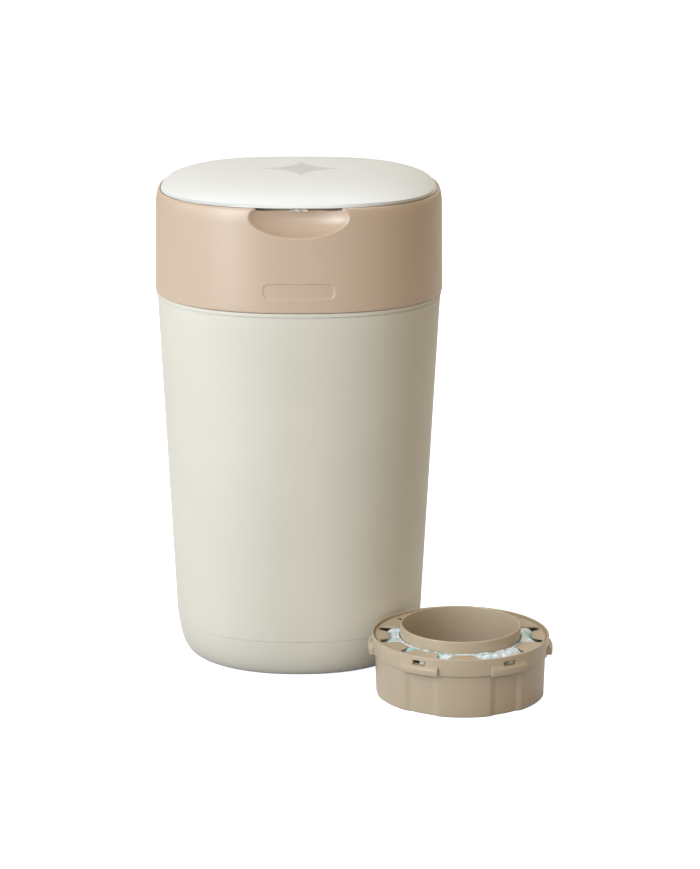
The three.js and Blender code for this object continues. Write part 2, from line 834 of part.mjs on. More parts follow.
function makeCutterSlide() {
  const x1 = cutterStart + cutterWidth;
  const tongueReach = railInset + railGrooveDepth - slideGap;
  const plate = block(cutterStart, x1, -tongueReach, tongueReach, cutterLow, cutterTop);
  const gripX = (cutterStart + x1) / 2;
  const half = cutterGripThickness / 2;
  const reach = cutterGripLength / 2;
  const grip = block(gripX - half, gripX + half, -reach, reach, cutterLow - cutterGripHeight, cutterTop);
  const seatReach = railInset - bladeEndMargin + pinFit;
  const seatEnd = cutterStart + bladeWidth - bladeProud + seatGap;
  const seatLow = cutterTop - bladeThickness - seatGap;
  const seat = block(cutterStart - overrun, seatEnd, -seatReach, seatReach, seatLow, cutterTop + overrun);
  return cut(join([plate, grip]), [seat]);
}

function makeCutterBlade() {
  const x0 = cutterStart - bladeProud;
  const reach = railInset - bladeEndMargin;
  const shape = new THREE.Shape();
  shape.moveTo(0, 0);
  shape.lineTo(bladeWidth, 0);
  shape.lineTo(bladeWidth, bladeThickness);
  shape.lineTo(bladeBevel, bladeThickness);
  shape.closePath();
  const options = { depth: 2 * reach, bevelEnabled: false };
  const bar = new THREE.ExtrudeGeometry(shape, options).rotateX(Math.PI / 2);
  return solid(bar.translate(x0, reach, cutterTop - bladeThickness));
}

// The lid

function domeRings(wall) {
  return lidRingShares.map((share) => {
    const rise = (1 - share ** lidEdgePower) ** (1 / lidCrownPower);
    return ring((lidRadius - wall) * share, lidBase + (lidDome - wall) * rise, topPower);
  });
}

// The slot in the lid's front edge that shows the catch.
function catchSlot(gap, back) {
  const half = catchWidth / 2 + gap;
  return block(-half, half, -lidRadius - overrun, back, lidBase - overrun, lidBase + catchHeight + gap);
}

function makeLidShell() {
  const shell = loft([
    ...domeRings(0),
    axisPoint(lidTop),
    axisPoint(lidTop - lidWall),
    ...domeRings(lidWall).reverse(),
  ]);
  const gap = knuckleGap;
  const spans = lidKnuckleSpans().map(([x0, x1]) => [x0 + gap, x1 - gap]);
  const knuckles = spans.flatMap(([x0, x1]) => [
    rodAlongX(lidKnuckleRadius, x0, x1, lidHingeY, lidHingeZ),
    block(x0, x1, lidHingeY - lidArmLength, lidHingeY, lidBase, lidHingeZ + lidKnuckleRadius),
  ]);
  const rooms = lidLugSpans().map(([x0, x1]) => {
    return rodAlongX(lidKnuckleRadius + slideGap, x0 - gap, x1 + gap, lidHingeY, lidHingeZ);
  });
  const reach = lidRadius;
  const bore = rodAlongX(lidPinRadius + pinFit, -reach, reach, lidHingeY, lidHingeZ);
  return cut(join([shell, ...knuckles]), [...rooms, bore, catchSlot(0, -lidRadius / 2)]);
}

// The liner closes the lid from below, with a lip that drops inside the collar's ledge.
function makeLidLiner() {
  const flangeRadius = lidRadius - lidWall - slideGap;
  const flangeLow = lidBase + seatGap;
  const lipLow = lidBase - linerDrop;
  const dish = linerRadius - sealWidth - 2 * seatGap - linerWall;
  const centreLow = flangeLow + linerRaise;
  const body = loft([
    axisPoint(centreLow),
    ring(dish - linerRaise, centreLow, topPower),
    ring(dish, lipLow, topPower),
    ring(linerRadius, lipLow, topPower),
    ring(linerRadius, flangeLow, topPower),
    ring(flangeRadius, flangeLow, topPower),
    ring(flangeRadius - linerWall / 2, flangeLow + linerWall, topPower),
    ring(dish, flangeLow + linerWall, topPower),
    ring(dish - linerRaise, centreLow + linerWall, topPower),
    axisPoint(centreLow + linerWall),
  ]);
  const armRooms = lidKnuckleSpans().map(([x0, x1]) => {
    return block(x0, x1, lidHingeY - lidArmLength - seatGap, lidHingeY, lidBase, lidTop);
  });
  const catchBack = -lidRadius + lidWall + catchDepth + seatGap;
  const catchRoom = block(
    -catchWidth / 2 - seatGap,
    catchWidth / 2 + seatGap,
    -lidRadius,
    catchBack,
    lidBase - seatGap,
    lidTop,
  );
  return cut(body, [...armRooms, catchRoom]);
}

function makeLidSeal() {
  const outer = linerRadius - seatGap;
  const low = deckTop + seatGap;
  const high = lidBase - linerDrop - seatGap;
  return loft([
    ring(outer, low, topPower),
    ring(outer, high, topPower),
    ring(outer - sealWidth, high, topPower),
    ring(outer - sealWidth, low, topPower),
  ]);
}

// The catch: a block inside the lid's edge, with ribs that show in the edge's slot.
function makeLidCatch() {
  const front = -lidRadius + lidWall + seatGap;
  const half = catchWidth / 2 - seatGap;
  const low = lidBase;
  const high = lidBase + catchHeight - seatGap;
  const base = block(-half, half, front, front + catchDepth - seatGap, low, high);
  const pitch = (2 * half - catchRibWidth) / (catchRibCount - 1);
  const ribs = Array.from({ length: catchRibCount }, (_, i) => {
    const x0 = -half + i * pitch;
    return block(x0, x0 + catchRibWidth, -lidRadius + seatGap, front + overrun, low, high);
  });
  return join([base, ...ribs]);
}

// The cassette

function lugAngles() {
  return Array.from({ length: lugCount }, (_, i) => (i / lugCount) * 360);
}

// A round wall with a shallow flute under each lug.
function flutedRing(r, z) {
  const pitch = 360 / lugCount;
  const radiusAt = (angle) => {
    const turn = THREE.MathUtils.radToDeg(angle);
    const off = Math.abs(turn - pitch * Math.round(turn / pitch));
    return r - fluteDepth * THREE.MathUtils.clamp((fluteSpan / 2 - off) / fluteFlank, 0, 1);
  };
  return { z, radiusAt };
}

// Angles round the cassette, with one on every corner of a flute.
function fluteAngles() {
  const corners = [0, fluteSpan / 2 - fluteFlank, fluteSpan / 2];
  const pitch = 360 / lugCount;
  const steps = Math.round((pitch - fluteSpan) / (2 * fluteFlank)) + 1;
  const plain = Array.from({ length: steps - 1 }, (_, i) => {
    return between(fluteSpan / 2, pitch - fluteSpan / 2, (i + 1) / steps);
  });
  const found = lugAngles().flatMap((middle) => {
    return [-corners[2], -corners[1], ...corners, ...plain].map((turn) => middle + turn);
  });
  return found.sort((a, b) => a - b).map(degrees);
}

function makeCassetteTub() {
  const flutesEnd = skirtLow - seatGap - fluteTopFade;
  const plainFrom = skirtLow - seatGap;
  const wall = cassetteWall;
  const foot = cassetteRadius - cassetteDraft;
  const body = loft(
    [
      flutedRing(foot - coreEdge, 0),
      flutedRing(foot, coreEdge),
      flutedRing(cassetteRadius, flutesEnd),
      ring(cassetteRadius, plainFrom),
      ring(cassetteRadius, cassetteTubTop),
      ring(cassetteRadius - wall, cassetteTubTop),
      ring(cassetteRadius - wall, plainFrom),
      flutedRing(cassetteRadius - wall, flutesEnd),
      flutedRing(foot - wall, wall),
      ring(coreRadius + seatGap, wall),
      ring(coreRadius + seatGap, 0),
    ],
    fluteAngles(),
  );
  // Snap hooks that show in the cover's windows.
  const hookTop = windowTop() - hookReach;
  const hookRoot = cassetteRadius - wall / 2;
  const hooks = lugAngles().map((middle) => {
    const outer = coverRadius - hookReach;
    const from = middle - hookSpan / 2;
    return sector(hookRoot, outer, hookTop - hookHeight, hookTop, from, from + hookSpan, 2);
  });
  return join([body, ...hooks]);
}

// The tube that nappies go through, with a flange that rests on the cassette's floor.
function makeCassetteCore() {
  const flangeRadius = coreRadius + coreFlangeWidth;
  return revolve([
    [coreRadius - coreWall, 0],
    [coreRadius, 0],
    [coreRadius, coreFlangeLow],
    [flangeRadius, coreFlangeLow],
    [flangeRadius, coreFlangeTop],
    [coreRadius, coreFlangeTop],
    [coreRadius, coreHeight - coreEdge],
    [coreRadius - coreEdge, coreHeight],
    [coreRadius - coreWall, coreHeight],
  ]);
}

function windowTop() {
  return coverPlateTop - coverPlateWall - windowGap / 2;
}

// Edge of the cover plate's opening, by the angle in degrees from the front. Lobes and lands reach
// in to the core, and the film shows in the windows between them.
function petalRadius(fromFront) {
  const around = Math.min(fromFront, 180 - fromFront);
  const [land, lobe, shortLobe] = [landGap, lobeGap, shortLobeGap].map((gap) => coreRadius + gap);
  const [front, side] = [windowMargin, sideWindowMargin].map((margin) => cassetteRadius - margin);
  const stations = [
    [0, lobe],
    [8, lobe],
    [11, front],
    [50, front],
    [54, land],
    [69, land],
    [72, side],
    [79, side],
    [83, shortLobe],
    [90, shortLobe],
  ];
  const next = Math.max(1, stations.findIndex(([limit]) => limit >= around));
  const [low, from] = stations[next - 1];
  const [high, to] = stations[next];
  return between(from, to, (around - low) / (high - low));
}

function makeCassetteCover() {
  const inner = coverRadius - coverWall;
  const rimInner = coverRadius - coverRimWidth;
  const skirt = revolve([
    [inner, skirtLow],
    [coverRadius, skirtLow],
    [coverRadius, coverTop - coverRimWidth / 2],
    [coverRadius - coverRimWidth / 4, coverTop],
    [rimInner, coverTop],
    [rimInner, coverPlateTop - coverPlateWall],
    [inner, coverPlateTop - coverPlateWall],
  ]);
  const plate = new THREE.Shape();
  plate.absarc(0, 0, coverRadius - coverRimWidth / 2, 0, 2 * Math.PI, false);
  const edge = new THREE.Path();
  for (let i = 0; i < petalSteps; i += 1) {
    const turn = (i / petalSteps) * 360;
    const radius = petalRadius(turn > 180 ? 360 - turn : turn);
    // The front is at -90 degrees.
    const angle = degrees(turn - 90);
    const point = [radius * Math.cos(angle), radius * Math.sin(angle)];
    if (i === 0) edge.moveTo(...point);
    else edge.lineTo(...point);
  }
  edge.closePath();
  plate.holes.push(edge);
  const plateBody = raise(plate, coverPlateTop - coverPlateWall, coverPlateTop, roundSides / 2);
  const lugs = lugAngles().map((middle) => makeLug().rotate([0, 0, middle]));
  const windowLow = windowTop() - windowHeight;
  const windows = lugAngles().map((middle) => {
    const from = middle - windowSpan / 2;
    const outer = lugOuter + overrun;
    return sector(inner - overrun, outer, windowLow, windowTop(), from, from + windowSpan, 2);
  });
  return cut(join([skirt, plateBody, ...lugs]), windows);
}

// One bayonet lug about the +X direction, with an upright face and a sloping top.
function makeLug() {
  const root = coverRadius - coverWall / 2;
  const body = revolve([
    [root, skirtLow],
    [lugOuter, skirtLow],
    [lugOuter, skirtLow + lugHeight - lugSlope],
    [coverRadius, skirtLow + lugHeight],
    [root, skirtLow + lugHeight],
  ]);
  const half = lugSpan / 2;
  return body.intersect(sector(root / 2, lugOuter + overrun, skirtLow - overrun, coverTop, -half, half, 4));
}

// The film, a pleated stack that fills the trough round the core.
function makeFilmPack() {
  const inner = coreRadius + filmGap;
  const outer = cassetteRadius - cassetteDraft - cassetteWall - fluteDepth - filmGap;
  const low = coreFlangeTop + seatGap;
  const high = coverPlateTop - coverPlateWall - filmTopDrop;
  const pitch = (high - low) / filmPleatCount;
  const outside = [[outer, low]];
  const inside = [[inner, low]];
  for (let i = 0; i < filmPleatCount; i += 1) {
    const middle = low + (i + 0.5) * pitch;
    outside.push([outer - filmPleatDepth, middle], [outer, middle + pitch / 2]);
    inside.push([inner + filmPleatDepth, middle], [inner, middle + pitch / 2]);
  }
  return revolve([...outside, ...inside.reverse()], filmSides);
}

place("tub", makeTub(), materials.cream);
const headPin = rodAlongX(headPinRadius, -headPinReach, headPinReach, headHingeY, headHingeZ);
place("head_hinge_pin", headPin, materials.steel);

place("collar", makeCollar(), materials.rose);
place("deck", makeDeck(), materials.inner);
place("well", makeWell(), materials.inner);
place("head_base", makeHeadBase(), materials.inner);
place("rim_seal", makeRimSeal(), materials.rubber);
screwPlaces().forEach(([x, y], i) => place(`deck_screw_${i + 1}`, makeScrew(x, y), materials.steel));
place("film_grip", makeFilmGrip(), materials.taupe);
const lidPin = rodAlongX(lidPinRadius, -lidPinReach, lidPinReach, lidHingeY, lidHingeZ);
place("lid_hinge_pin", lidPin, materials.steel);

place("rotor", makeRotor(), materials.taupe);
place("click_finger", makeClickFinger(), materials.taupe);
place("cutter_slide", makeCutterSlide(), materials.rose);
place("cutter_blade", makeCutterBlade(), materials.steel);

place("lid_shell", makeLidShell(), materials.cream);
place("lid_liner", makeLidLiner(), materials.inner);
place("lid_seal", makeLidSeal(), materials.rubber);
place("lid_catch", makeLidCatch(), materials.inner);

// The cassette stands on the floor to the front right, just clear of the tub's corner.
const cornerRadius = tubRadiusAt(coverTop) * squircle(Math.PI / 4, planPower);
const cassetteSide = (cornerRadius + lugOuter + cassetteStandOff) * Math.cos(Math.PI / 4);
const cassette = new THREE.Group();
cassette.position.set(cassetteSide, -cassetteSide, 0);
bin.add(cassette);
place("cassette_tub", makeCassetteTub(), materials.taupe, cassette);
place("cassette_core", makeCassetteCore(), materials.taupe, cassette);
place("cassette_cover", makeCassetteCover(), materials.taupe, cassette);
place("film_pack", makeFilmPack(), materials.film, cassette);

export default bin;
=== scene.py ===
import math

import bmesh
import bpy
import numpy as np
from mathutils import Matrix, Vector, noise


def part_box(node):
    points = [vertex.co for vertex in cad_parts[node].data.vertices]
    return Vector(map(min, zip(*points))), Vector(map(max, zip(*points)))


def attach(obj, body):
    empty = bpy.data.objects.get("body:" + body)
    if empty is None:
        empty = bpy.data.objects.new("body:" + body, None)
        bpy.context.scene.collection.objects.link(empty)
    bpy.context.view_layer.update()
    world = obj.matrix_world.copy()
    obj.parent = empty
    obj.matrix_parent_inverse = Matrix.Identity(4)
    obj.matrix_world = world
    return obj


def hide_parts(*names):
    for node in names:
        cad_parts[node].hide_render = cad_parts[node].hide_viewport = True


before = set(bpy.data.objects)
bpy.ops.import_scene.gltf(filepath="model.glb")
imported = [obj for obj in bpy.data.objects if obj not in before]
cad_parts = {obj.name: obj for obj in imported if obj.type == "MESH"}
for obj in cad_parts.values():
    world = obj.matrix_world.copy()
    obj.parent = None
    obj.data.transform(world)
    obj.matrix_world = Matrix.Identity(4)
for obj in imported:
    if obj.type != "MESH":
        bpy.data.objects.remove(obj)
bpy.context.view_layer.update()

# Sizes are in millimetres, in the frame of the CAD model. Meshes become metres as they are made.
MM = 0.001


def box_mm(node):
    """A CAD node's lowest and highest corners in millimetres."""
    low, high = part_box(node)
    return low / MM, high / MM


# Gaps and walls that the CAD pieces share
SEAT_GAP = 0.4
SLIDE_GAP = 0.6
PIN_FIT = 0.25
OVERRUN = 2
CLEAN_CUT = 0.03
WALL = 2.6
FOOT_POWER = 2.15
PLAN_POWER = 2.35
TOP_POWER = 2.42

# Tub
TUB_HIGH = box_mm("tub")[1]
NECK_TOP = TUB_HIGH.z
BEAD_PROUD = 0.8
BEAD_HEIGHT = 3.6
NECK_HEIGHT = 6.5
NECK_INSET = 1.6
RIM_RADIUS = TUB_HIGH.x - BEAD_PROUD
BEAD_TOP = NECK_TOP - NECK_HEIGHT
RIM_HEIGHT = BEAD_TOP - BEAD_HEIGHT
NECK_RADIUS = RIM_RADIUS - NECK_INSET
FOOT_HEIGHT = 33.6
FOOT_SWEEP = math.radians(75)
FOOT_RADIUS = RIM_RADIUS - 15.4
BASE_RADIUS = FOOT_RADIUS - 13
CREASE_STEP = 0.4
GROOVE_DEPTH = 0.8
GROOVE_HEIGHT = 0.9

# Collar
COLLAR_RADIUS = box_mm("collar")[1].x
COLLAR_TAPER = 1.3
COLLAR_TOP_RADIUS = COLLAR_RADIUS - COLLAR_TAPER
COLLAR_BASE = BEAD_TOP + SEAT_GAP
COLLAR_TOP = COLLAR_BASE + 89.9
COLLAR_EDGE = 1.2
SHOULDER_DROP = 14
SHOULDER_INSET = 3.1
RIM_LIP = 0.6
REBATE_RADIUS = COLLAR_TOP_RADIUS - SHOULDER_INSET - RIM_LIP
LEDGE_REACH = 6
SCOOP_HALF_WIDTH = 45.8
SCOOP_HALF_HEIGHT = 17.7
SCOOP_DEPTH = 15
SCOOP_Z = COLLAR_TOP - 6.7
SCOOP_WALL = 2.2
SCOOP_POWER = 0.62
SCOOP_RUN_ON = 7
SCOOP_EDGE = 1.4
NOTCH_DEPTH = 1.6
NOTCH_REACH = 42
NOTCH_EASE = 14
PLATE_LENGTH = 60.8
PLATE_HEIGHT = 12.9
PLATE_CORNER = 4.6
PLATE_RECESS = 0.6
PLATE_EDGE = 0.9
PLATE_Z = COLLAR_BASE + 18.9

# Lid
LID_RADIUS = box_mm("lid_shell")[1].x
SOLID_LID_BASE = COLLAR_TOP - 2.6
LID_BASE = COLLAR_TOP + 0.1
LID_DOME = 16.4
LID_WALL = 1.8
LID_EDGE_POWER = 3.47
LID_CROWN_POWER = 1.34
LID_POWER = 3.0
LEDGE_TOP = COLLAR_TOP - 1.2
LEDGE_BOTTOM = SOLID_LID_BASE - SEAT_GAP - 4.5
CATCH_WIDTH = 15.5
STAR_CENTRE = (2, -8)
STAR_REACH = (42, 42)
STAR_POWER = 0.57

# Hinges
LID_PIN_RADIUS = 1.8
LID_KNUCKLE_RADIUS = 4.6
LID_HINGE_Y = LID_RADIUS + 4.3
LID_HINGE_Z = SOLID_LID_BASE + 1
LID_KNUCKLE_WIDTH = 16
LID_MIDDLE_WIDTH = 30
LID_LUG_WIDTH = 9
LID_LUG_DROP = 17
LID_ARM_LENGTH = 7.5
KNUCKLE_GAP = 0.6
HEAD_PIN_RADIUS = 2
HEAD_KNUCKLE_RADIUS = 4.5
HEAD_HINGE_Y = COLLAR_RADIUS + HEAD_KNUCKLE_RADIUS + SLIDE_GAP
HEAD_HINGE_Z = COLLAR_BASE
HEAD_MIDDLE_WIDTH = 46
HEAD_LUG_WIDTH = 15
HEAD_LUG_RISE = 16
TUB_LUG_DROP = 17
BORE_REACH = 60

# Cassette
CORE_LOW, CORE_HIGH = box_mm("cassette_core")
CASSETTE_X = (CORE_LOW.x + CORE_HIGH.x) / 2
CASSETTE_Y = (CORE_LOW.y + CORE_HIGH.y) / 2
CASSETTE_CENTRE = (CASSETTE_X, CASSETTE_Y)
CORE_FLANGE = 3
CORE_FLANGE_WALL = 1.2
CORE_RADIUS = (CORE_HIGH.x - CORE_LOW.x) / 2 - CORE_FLANGE
CORE_WALL = 1.8
CASSETTE_WALL = 1.8
CASSETTE_RADIUS = (box_mm("cassette_tub")[1].y - box_mm("cassette_tub")[0].y) / 2
CASSETTE_DRAFT = 1
COVER_LOW, COVER_HIGH = box_mm("cassette_cover")
COVER_RADIUS = (COVER_HIGH.y - COVER_LOW.y) / 2
SKIRT_LOW = COVER_LOW.z
COVER_TOP = COVER_HIGH.z
COVER_WALL = 1.6
PLATE_DROP = 1.8
PLATE_WALL = 1.5
LUG_COUNT = 6
LUG_PROUD = 3.2
LUG_TALL = 8.5
LUG_SLOPE = 3.4
LUG_SPAN = 26
FLUTE_SPAN = 26
FLUTE_FLANK = 5
FLUTE_DEPTH = 2.0
SIDE_FLUTE_DEPTH = 0.7
WINDOW_SPAN = 9
WINDOW_HEIGHT = 4
COVER_PLATE_TOP = COVER_TOP - PLATE_DROP
COVER_PLATE_LOW = COVER_PLATE_TOP - PLATE_WALL
HOOK_TOP = COVER_PLATE_LOW - 0.4 - 0.5
HOOK_HEIGHT = 2.6
SLOT_HEIGHT = 3.2
FILM_SWELL = 2.4
FILM_MARGIN = 0.9

# Points round each kind of piece
SHELL_COLUMNS = 288
RING_COLUMNS = 256
FLUTED_COLUMNS = 480
COVER_COLUMNS = 720

# Lengths below which points merge and edges vanish, first as made and then after the booleans
MERGE, SLIVER = 0.004, 0.002
HEAL_MERGE, HEAL_SLIVER = 0.012, 0.004
HEAL_ROUNDS = 4
HOLE_SIDES = 24

# The camera that was fitted to the photograph's outlines, and the lamps
CAMERA_PLACE = (0.0035, -2.6117, 0.8531)
CAMERA_PITCH = 14.13
FOCAL_PIXELS = 2966.5
LONG_SIDE = 869
AXIS_OFFSET = 47.1
LAMPS = [
    ("key", (-1.5, -1.65, 1.05), (0, 0, 0.25), (1.2, 1.9), 33, (0.85, 0.93, 1)),
    ("side", (-2.2, -0.3, 0.95), (0, 0, 0.25), (2.2, 1.2), 10, (0.88, 0.95, 1)),
    ("top", (0, 0.7, 2.3), (0, 0, 0.4), (1.6, 1.6), 20, (0.8, 0.89, 1)),
    ("front", (-0.9, -2.3, 1.08), (0, 0, 0.4), (2.4, 0.25), 9, (0.95, 0.97, 1)),
]


# Mesh helpers

def squircle(angles, power):
    """Radius of a rounded square of half-width one."""
    sum_of_powers = np.abs(np.cos(angles)) ** power + np.abs(np.sin(angles)) ** power
    return sum_of_powers ** (-1 / power)


def eased(share):
    """A share from 0 to 1 that starts and ends softly."""
    return share * share * (3 - 2 * share)


def rounded(corners, steps=4):
    """Profile points from (r, z, rounding) corners of a closed profile, each rounding as a short arc."""
    points = []
    count = len(corners)
    for i, (r, z, rounding) in enumerate(corners):
        here = np.array([r, z], float)
        if rounding == 0:
            points.append(here)
            continue
        before = np.array(corners[i - 1][:2], float) - here
        after = np.array(corners[(i + 1) % count][:2], float) - here
        reach = min(rounding, 0.48 * np.linalg.norm(before), 0.48 * np.linalg.norm(after))
        start = here + before / np.linalg.norm(before) * reach
        end = here + after / np.linalg.norm(after) * reach
        for share in np.linspace(0, 1, steps + 1):
            points.append((1 - share) ** 2 * start + 2 * share * (1 - share) * here + share ** 2 * end)
    return np.array(points)


def split_long(profile, longest):
    """A closed profile with points added so that no step is longer than a length."""
    points = []
    for i, here in enumerate(profile):
        after = profile[(i + 1) % len(profile)]
        steps = max(1, math.ceil(np.linalg.norm(after - here) / longest))
        points += [here + (after - here) * step / steps for step in range(steps)]
    return np.array(points)


def split_open(profile, longest):
    """The same without the points that would close the profile, for a surface that ends in caps."""
    points = split_long(profile, longest)
    last = int(np.argmin(np.abs(points - profile[-1]).sum(axis=1)))
    return points[:last + 1]


def turned(profile, angles, power=2.0, centre=(0, 0)):
    """Grid of points (rows, columns, 3): a profile carried round Z.

    The plan power is one for all rows, or one for each row.
    """
    powers = np.broadcast_to(np.asarray(power, float), (len(profile),))[:, None]
    radii = profile[:, :1] * squircle(angles[None, :], powers)
    x = radii * np.cos(angles)[None, :] + centre[0]
    y = radii * np.sin(angles)[None, :] + centre[1]
    z = np.repeat(profile[:, 1:2], len(angles), axis=1)
    return np.stack([x, y, z], axis=2)


def ring(radii, angles, z):
    """One row of points round Z, with a radius and a height for each angle, or one for all."""
    heights = np.broadcast_to(np.asarray(z, float), angles.shape)
    return np.stack([radii * np.cos(angles), radii * np.sin(angles), heights], axis=1)


def at_cassette(rows):
    """A grid from rows of points, moved to the cassette's place."""
    grid = np.stack(rows)
    grid[..., 0] += CASSETTE_X
    grid[..., 1] += CASSETTE_Y
    return grid


def even_angles(count):
    return np.arange(count) * 2 * math.pi / count


def new_object(name, points, faces):
    mesh = bpy.data.meshes.new(name)
    mesh.from_pydata((np.asarray(points, float) * MM).tolist(), [], faces)
    tidy(mesh)
    made = bpy.data.objects.new(name, mesh)
    bpy.context.scene.collection.objects.link(made)
    return made


def tidy(mesh):
    """Merges points that meet, drops faces of no area and turns all faces outward."""
    work = bmesh.new()
    work.from_mesh(mesh)
    bmesh.ops.remove_doubles(work, verts=work.verts, dist=MERGE * MM)
    bmesh.ops.dissolve_degenerate(work, edges=work.edges, dist=SLIVER * MM)
    bmesh.ops.recalc_face_normals(work, faces=work.faces)
    work.to_mesh(mesh)
    work.free()
    mesh.update()


def from_grid(name, grid, capped=False):
    """A closed surface over a grid whose columns go all round. Its rows close too, or end in caps."""
    rows, columns = grid.shape[:2]
    points = grid.reshape(-1, 3)
    faces = []
    for i in range(rows - 1 if capped else rows):
        low, high = i * columns, ((i + 1) % rows) * columns
        for j in range(columns):
            k = (j + 1) % columns
            faces.append((low + j, low + k, high + k, high + j))
    if capped:
        ends = [grid[0].mean(axis=0), grid[-1].mean(axis=0)]
        points = np.vstack([points, ends])
        first, last = len(points) - 2, len(points) - 1
        top = (rows - 1) * columns
        for j in range(columns):
            k = (j + 1) % columns
            faces.append((first, k, j))
            faces.append((last, top + j, top + k))
    return new_object(name, points, faces)


def prism_x(name, outline, x0, x1, bevel=0.0):
    """An outline of (y, z) points, extended along X, with its end edges rounded."""
    count = len(outline)
    points = [(x, y, z) for x in (x0, x1) for y, z in outline]
    sides = [(i, (i + 1) % count, count + (i + 1) % count, count + i) for i in range(count)]
    made = new_object(name, points, [tuple(range(count)), tuple(range(count, 2 * count)), *sides])
    if bevel:
        round_edges(made, bevel, math.radians(40))
    return made


def round_edges(piece, width, angle, segments=2):
    """Rounds a piece's edges that are sharper than an angle."""
    modifier = piece.modifiers.new("rounding", "BEVEL")
    modifier.width = width * MM
    modifier.segments = segments
    modifier.limit_method = "ANGLE"
    modifier.angle_limit = angle
    apply_modifiers(piece)


def apply_modifiers(piece):
    depsgraph = bpy.context.evaluated_depsgraph_get()
    mesh = bpy.data.meshes.new_from_object(piece.evaluated_get(depsgraph))
    piece.modifiers.clear()
    spent = piece.data
    piece.data = mesh
    bpy.data.meshes.remove(spent)


def combine(piece, tool, operation):
    """Joins a tool to a piece, or cuts it away, and removes the tool."""
    modifier = piece.modifiers.new(operation.lower(), "BOOLEAN")
    modifier.operation = operation
    modifier.solver = "EXACT"
    modifier.object = tool
    bpy.context.view_layer.update()
    apply_modifiers(piece)
    spent = tool.data
    bpy.data.objects.remove(tool)
    bpy.data.meshes.remove(spent)


def join(piece, *tools):
    for tool in tools:
        combine(piece, tool, "UNION")
    return piece


def cut(piece, *tools):
    for tool in tools:
        combine(piece, tool, "DIFFERENCE")


def rod_x(name, radius, x0, x1, y, z, chamfer=0.0, sides=48):
    """A round rod along X, its ends eased if a chamfer is given."""
    stations = [(x0, radius), (x1, radius)]
    if chamfer:
        stations = [
            (x0, radius - chamfer),
            (x0 + 0.3 * chamfer, radius - 0.3 * chamfer),
            (x0 + chamfer, radius),
            (x1 - chamfer, radius),
            (x1 - 0.3 * chamfer, radius - 0.3 * chamfer),
            (x1, radius - chamfer),
        ]
    angles = even_angles(sides)
    grid = np.array([
        [(x, y + r * math.cos(a), z + r * math.sin(a)) for a in angles] for x, r in stations
    ])
    return from_grid(name, grid, capped=True)


def block(name, x0, x1, y0, y1, z0, z1, bevel=0.0):
    return prism_x(name, [(y0, z0), (y1, z0), (y1, z1), (y0, z1)], x0, x1, bevel)


def sector(name, profile, from_turn, to_turn, steps):
    """A profile of (r, z) points carried round the cassette's axis, in degrees, with flat ends."""
    angles = np.radians(np.linspace(from_turn, to_turn, steps + 1))
    count = len(profile)
    points = [
        (CASSETTE_X + r * math.cos(a), CASSETTE_Y + r * math.sin(a), z)
        for a in angles for r, z in profile
    ]
    faces = [tuple(range(count)), tuple(range(steps * count, (steps + 1) * count))]
    for i in range(steps):
        for j in range(count):
            k = (j + 1) % count
            faces.append((i * count + j, i * count + k, (i + 1) * count + k, (i + 1) * count + j))
    return new_object(name, points, faces)


def mirrored(x0, x1):
    return [(x0, x1), (-x1, -x0)]


def heal(mesh):
    """Closes the pinholes and removes the slivers that booleans leave."""
    work = bmesh.new()
    work.from_mesh(mesh)
    bmesh.ops.remove_doubles(work, verts=work.verts, dist=HEAL_MERGE * MM)
    bmesh.ops.dissolve_degenerate(work, edges=work.edges, dist=HEAL_SLIVER * MM)
    for _ in range(HEAL_ROUNDS):
        shared = [edge for edge in work.edges if len(edge.link_faces) > 2]
        crowded = {face for edge in shared for face in edge.link_faces}
        if crowded:
            by_area = sorted(crowded, key=lambda face: (face.calc_area(), face.index))
            slivers = by_area[:max(1, len(crowded) // 3)]
            bmesh.ops.delete(work, geom=slivers, context="FACES")
        loose = [vert for vert in work.verts if not vert.link_faces]
        bmesh.ops.delete(work, geom=loose, context="VERTS")
        loose = [edge for edge in work.edges if not edge.link_faces]
        bmesh.ops.delete(work, geom=loose, context="EDGES")
        rim = [edge for edge in work.edges if len(edge.link_faces) == 1]
        if not rim:
            break
        bmesh.ops.holes_fill(work, edges=rim, sides=HOLE_SIDES)
        work.faces.index_update()
    bmesh.ops.recalc_face_normals(work, faces=work.faces)
    work.to_mesh(mesh)
    work.free()
    mesh.update()


def smooth(piece, angle=32):
    """Shades a piece smooth, with edges sharper than an angle kept crisp."""
    piece.data.shade_smooth()
    piece.data.set_sharp_from_angle(angle=math.radians(angle))


def dress(piece, body, nodes, material):
    """Hands a finished piece to its CAD body, in place of the nodes it stands for."""
    heal(piece.data)
    smooth(piece)
    piece.data.materials.clear()
    piece.data.materials.append(material)
    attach(piece, body)
    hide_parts(*nodes)


def hinge_eye(name, x0, x1, y, z, radius, wall_y, near_z, far_z):
    """A hinge's round boss with the web that runs to its wall. Its bore is cut later."""
    arc = [math.pi - math.pi * share for share in np.linspace(0, 1, 25)]
    outline = [(wall_y, far_z), (wall_y, near_z)]
    outline += [(y + radius * math.cos(a), z + radius * math.sin(a)) for a in arc]
    return prism_x(name, outline, x0, x1, bevel=0.5)


def head_bore():
    radius = HEAD_PIN_RADIUS + PIN_FIT
    return rod_x("bore", radius, -BORE_REACH, BORE_REACH, HEAD_HINGE_Y, HEAD_HINGE_Z)


def lid_bore():
    radius = LID_PIN_RADIUS + PIN_FIT
    return rod_x("bore", radius, -BORE_REACH, BORE_REACH, LID_HINGE_Y, LID_HINGE_Z)


def lid_knuckle_spans():
    start = LID_MIDDLE_WIDTH / 2
    return mirrored(start, start + LID_KNUCKLE_WIDTH + 2 * KNUCKLE_GAP)


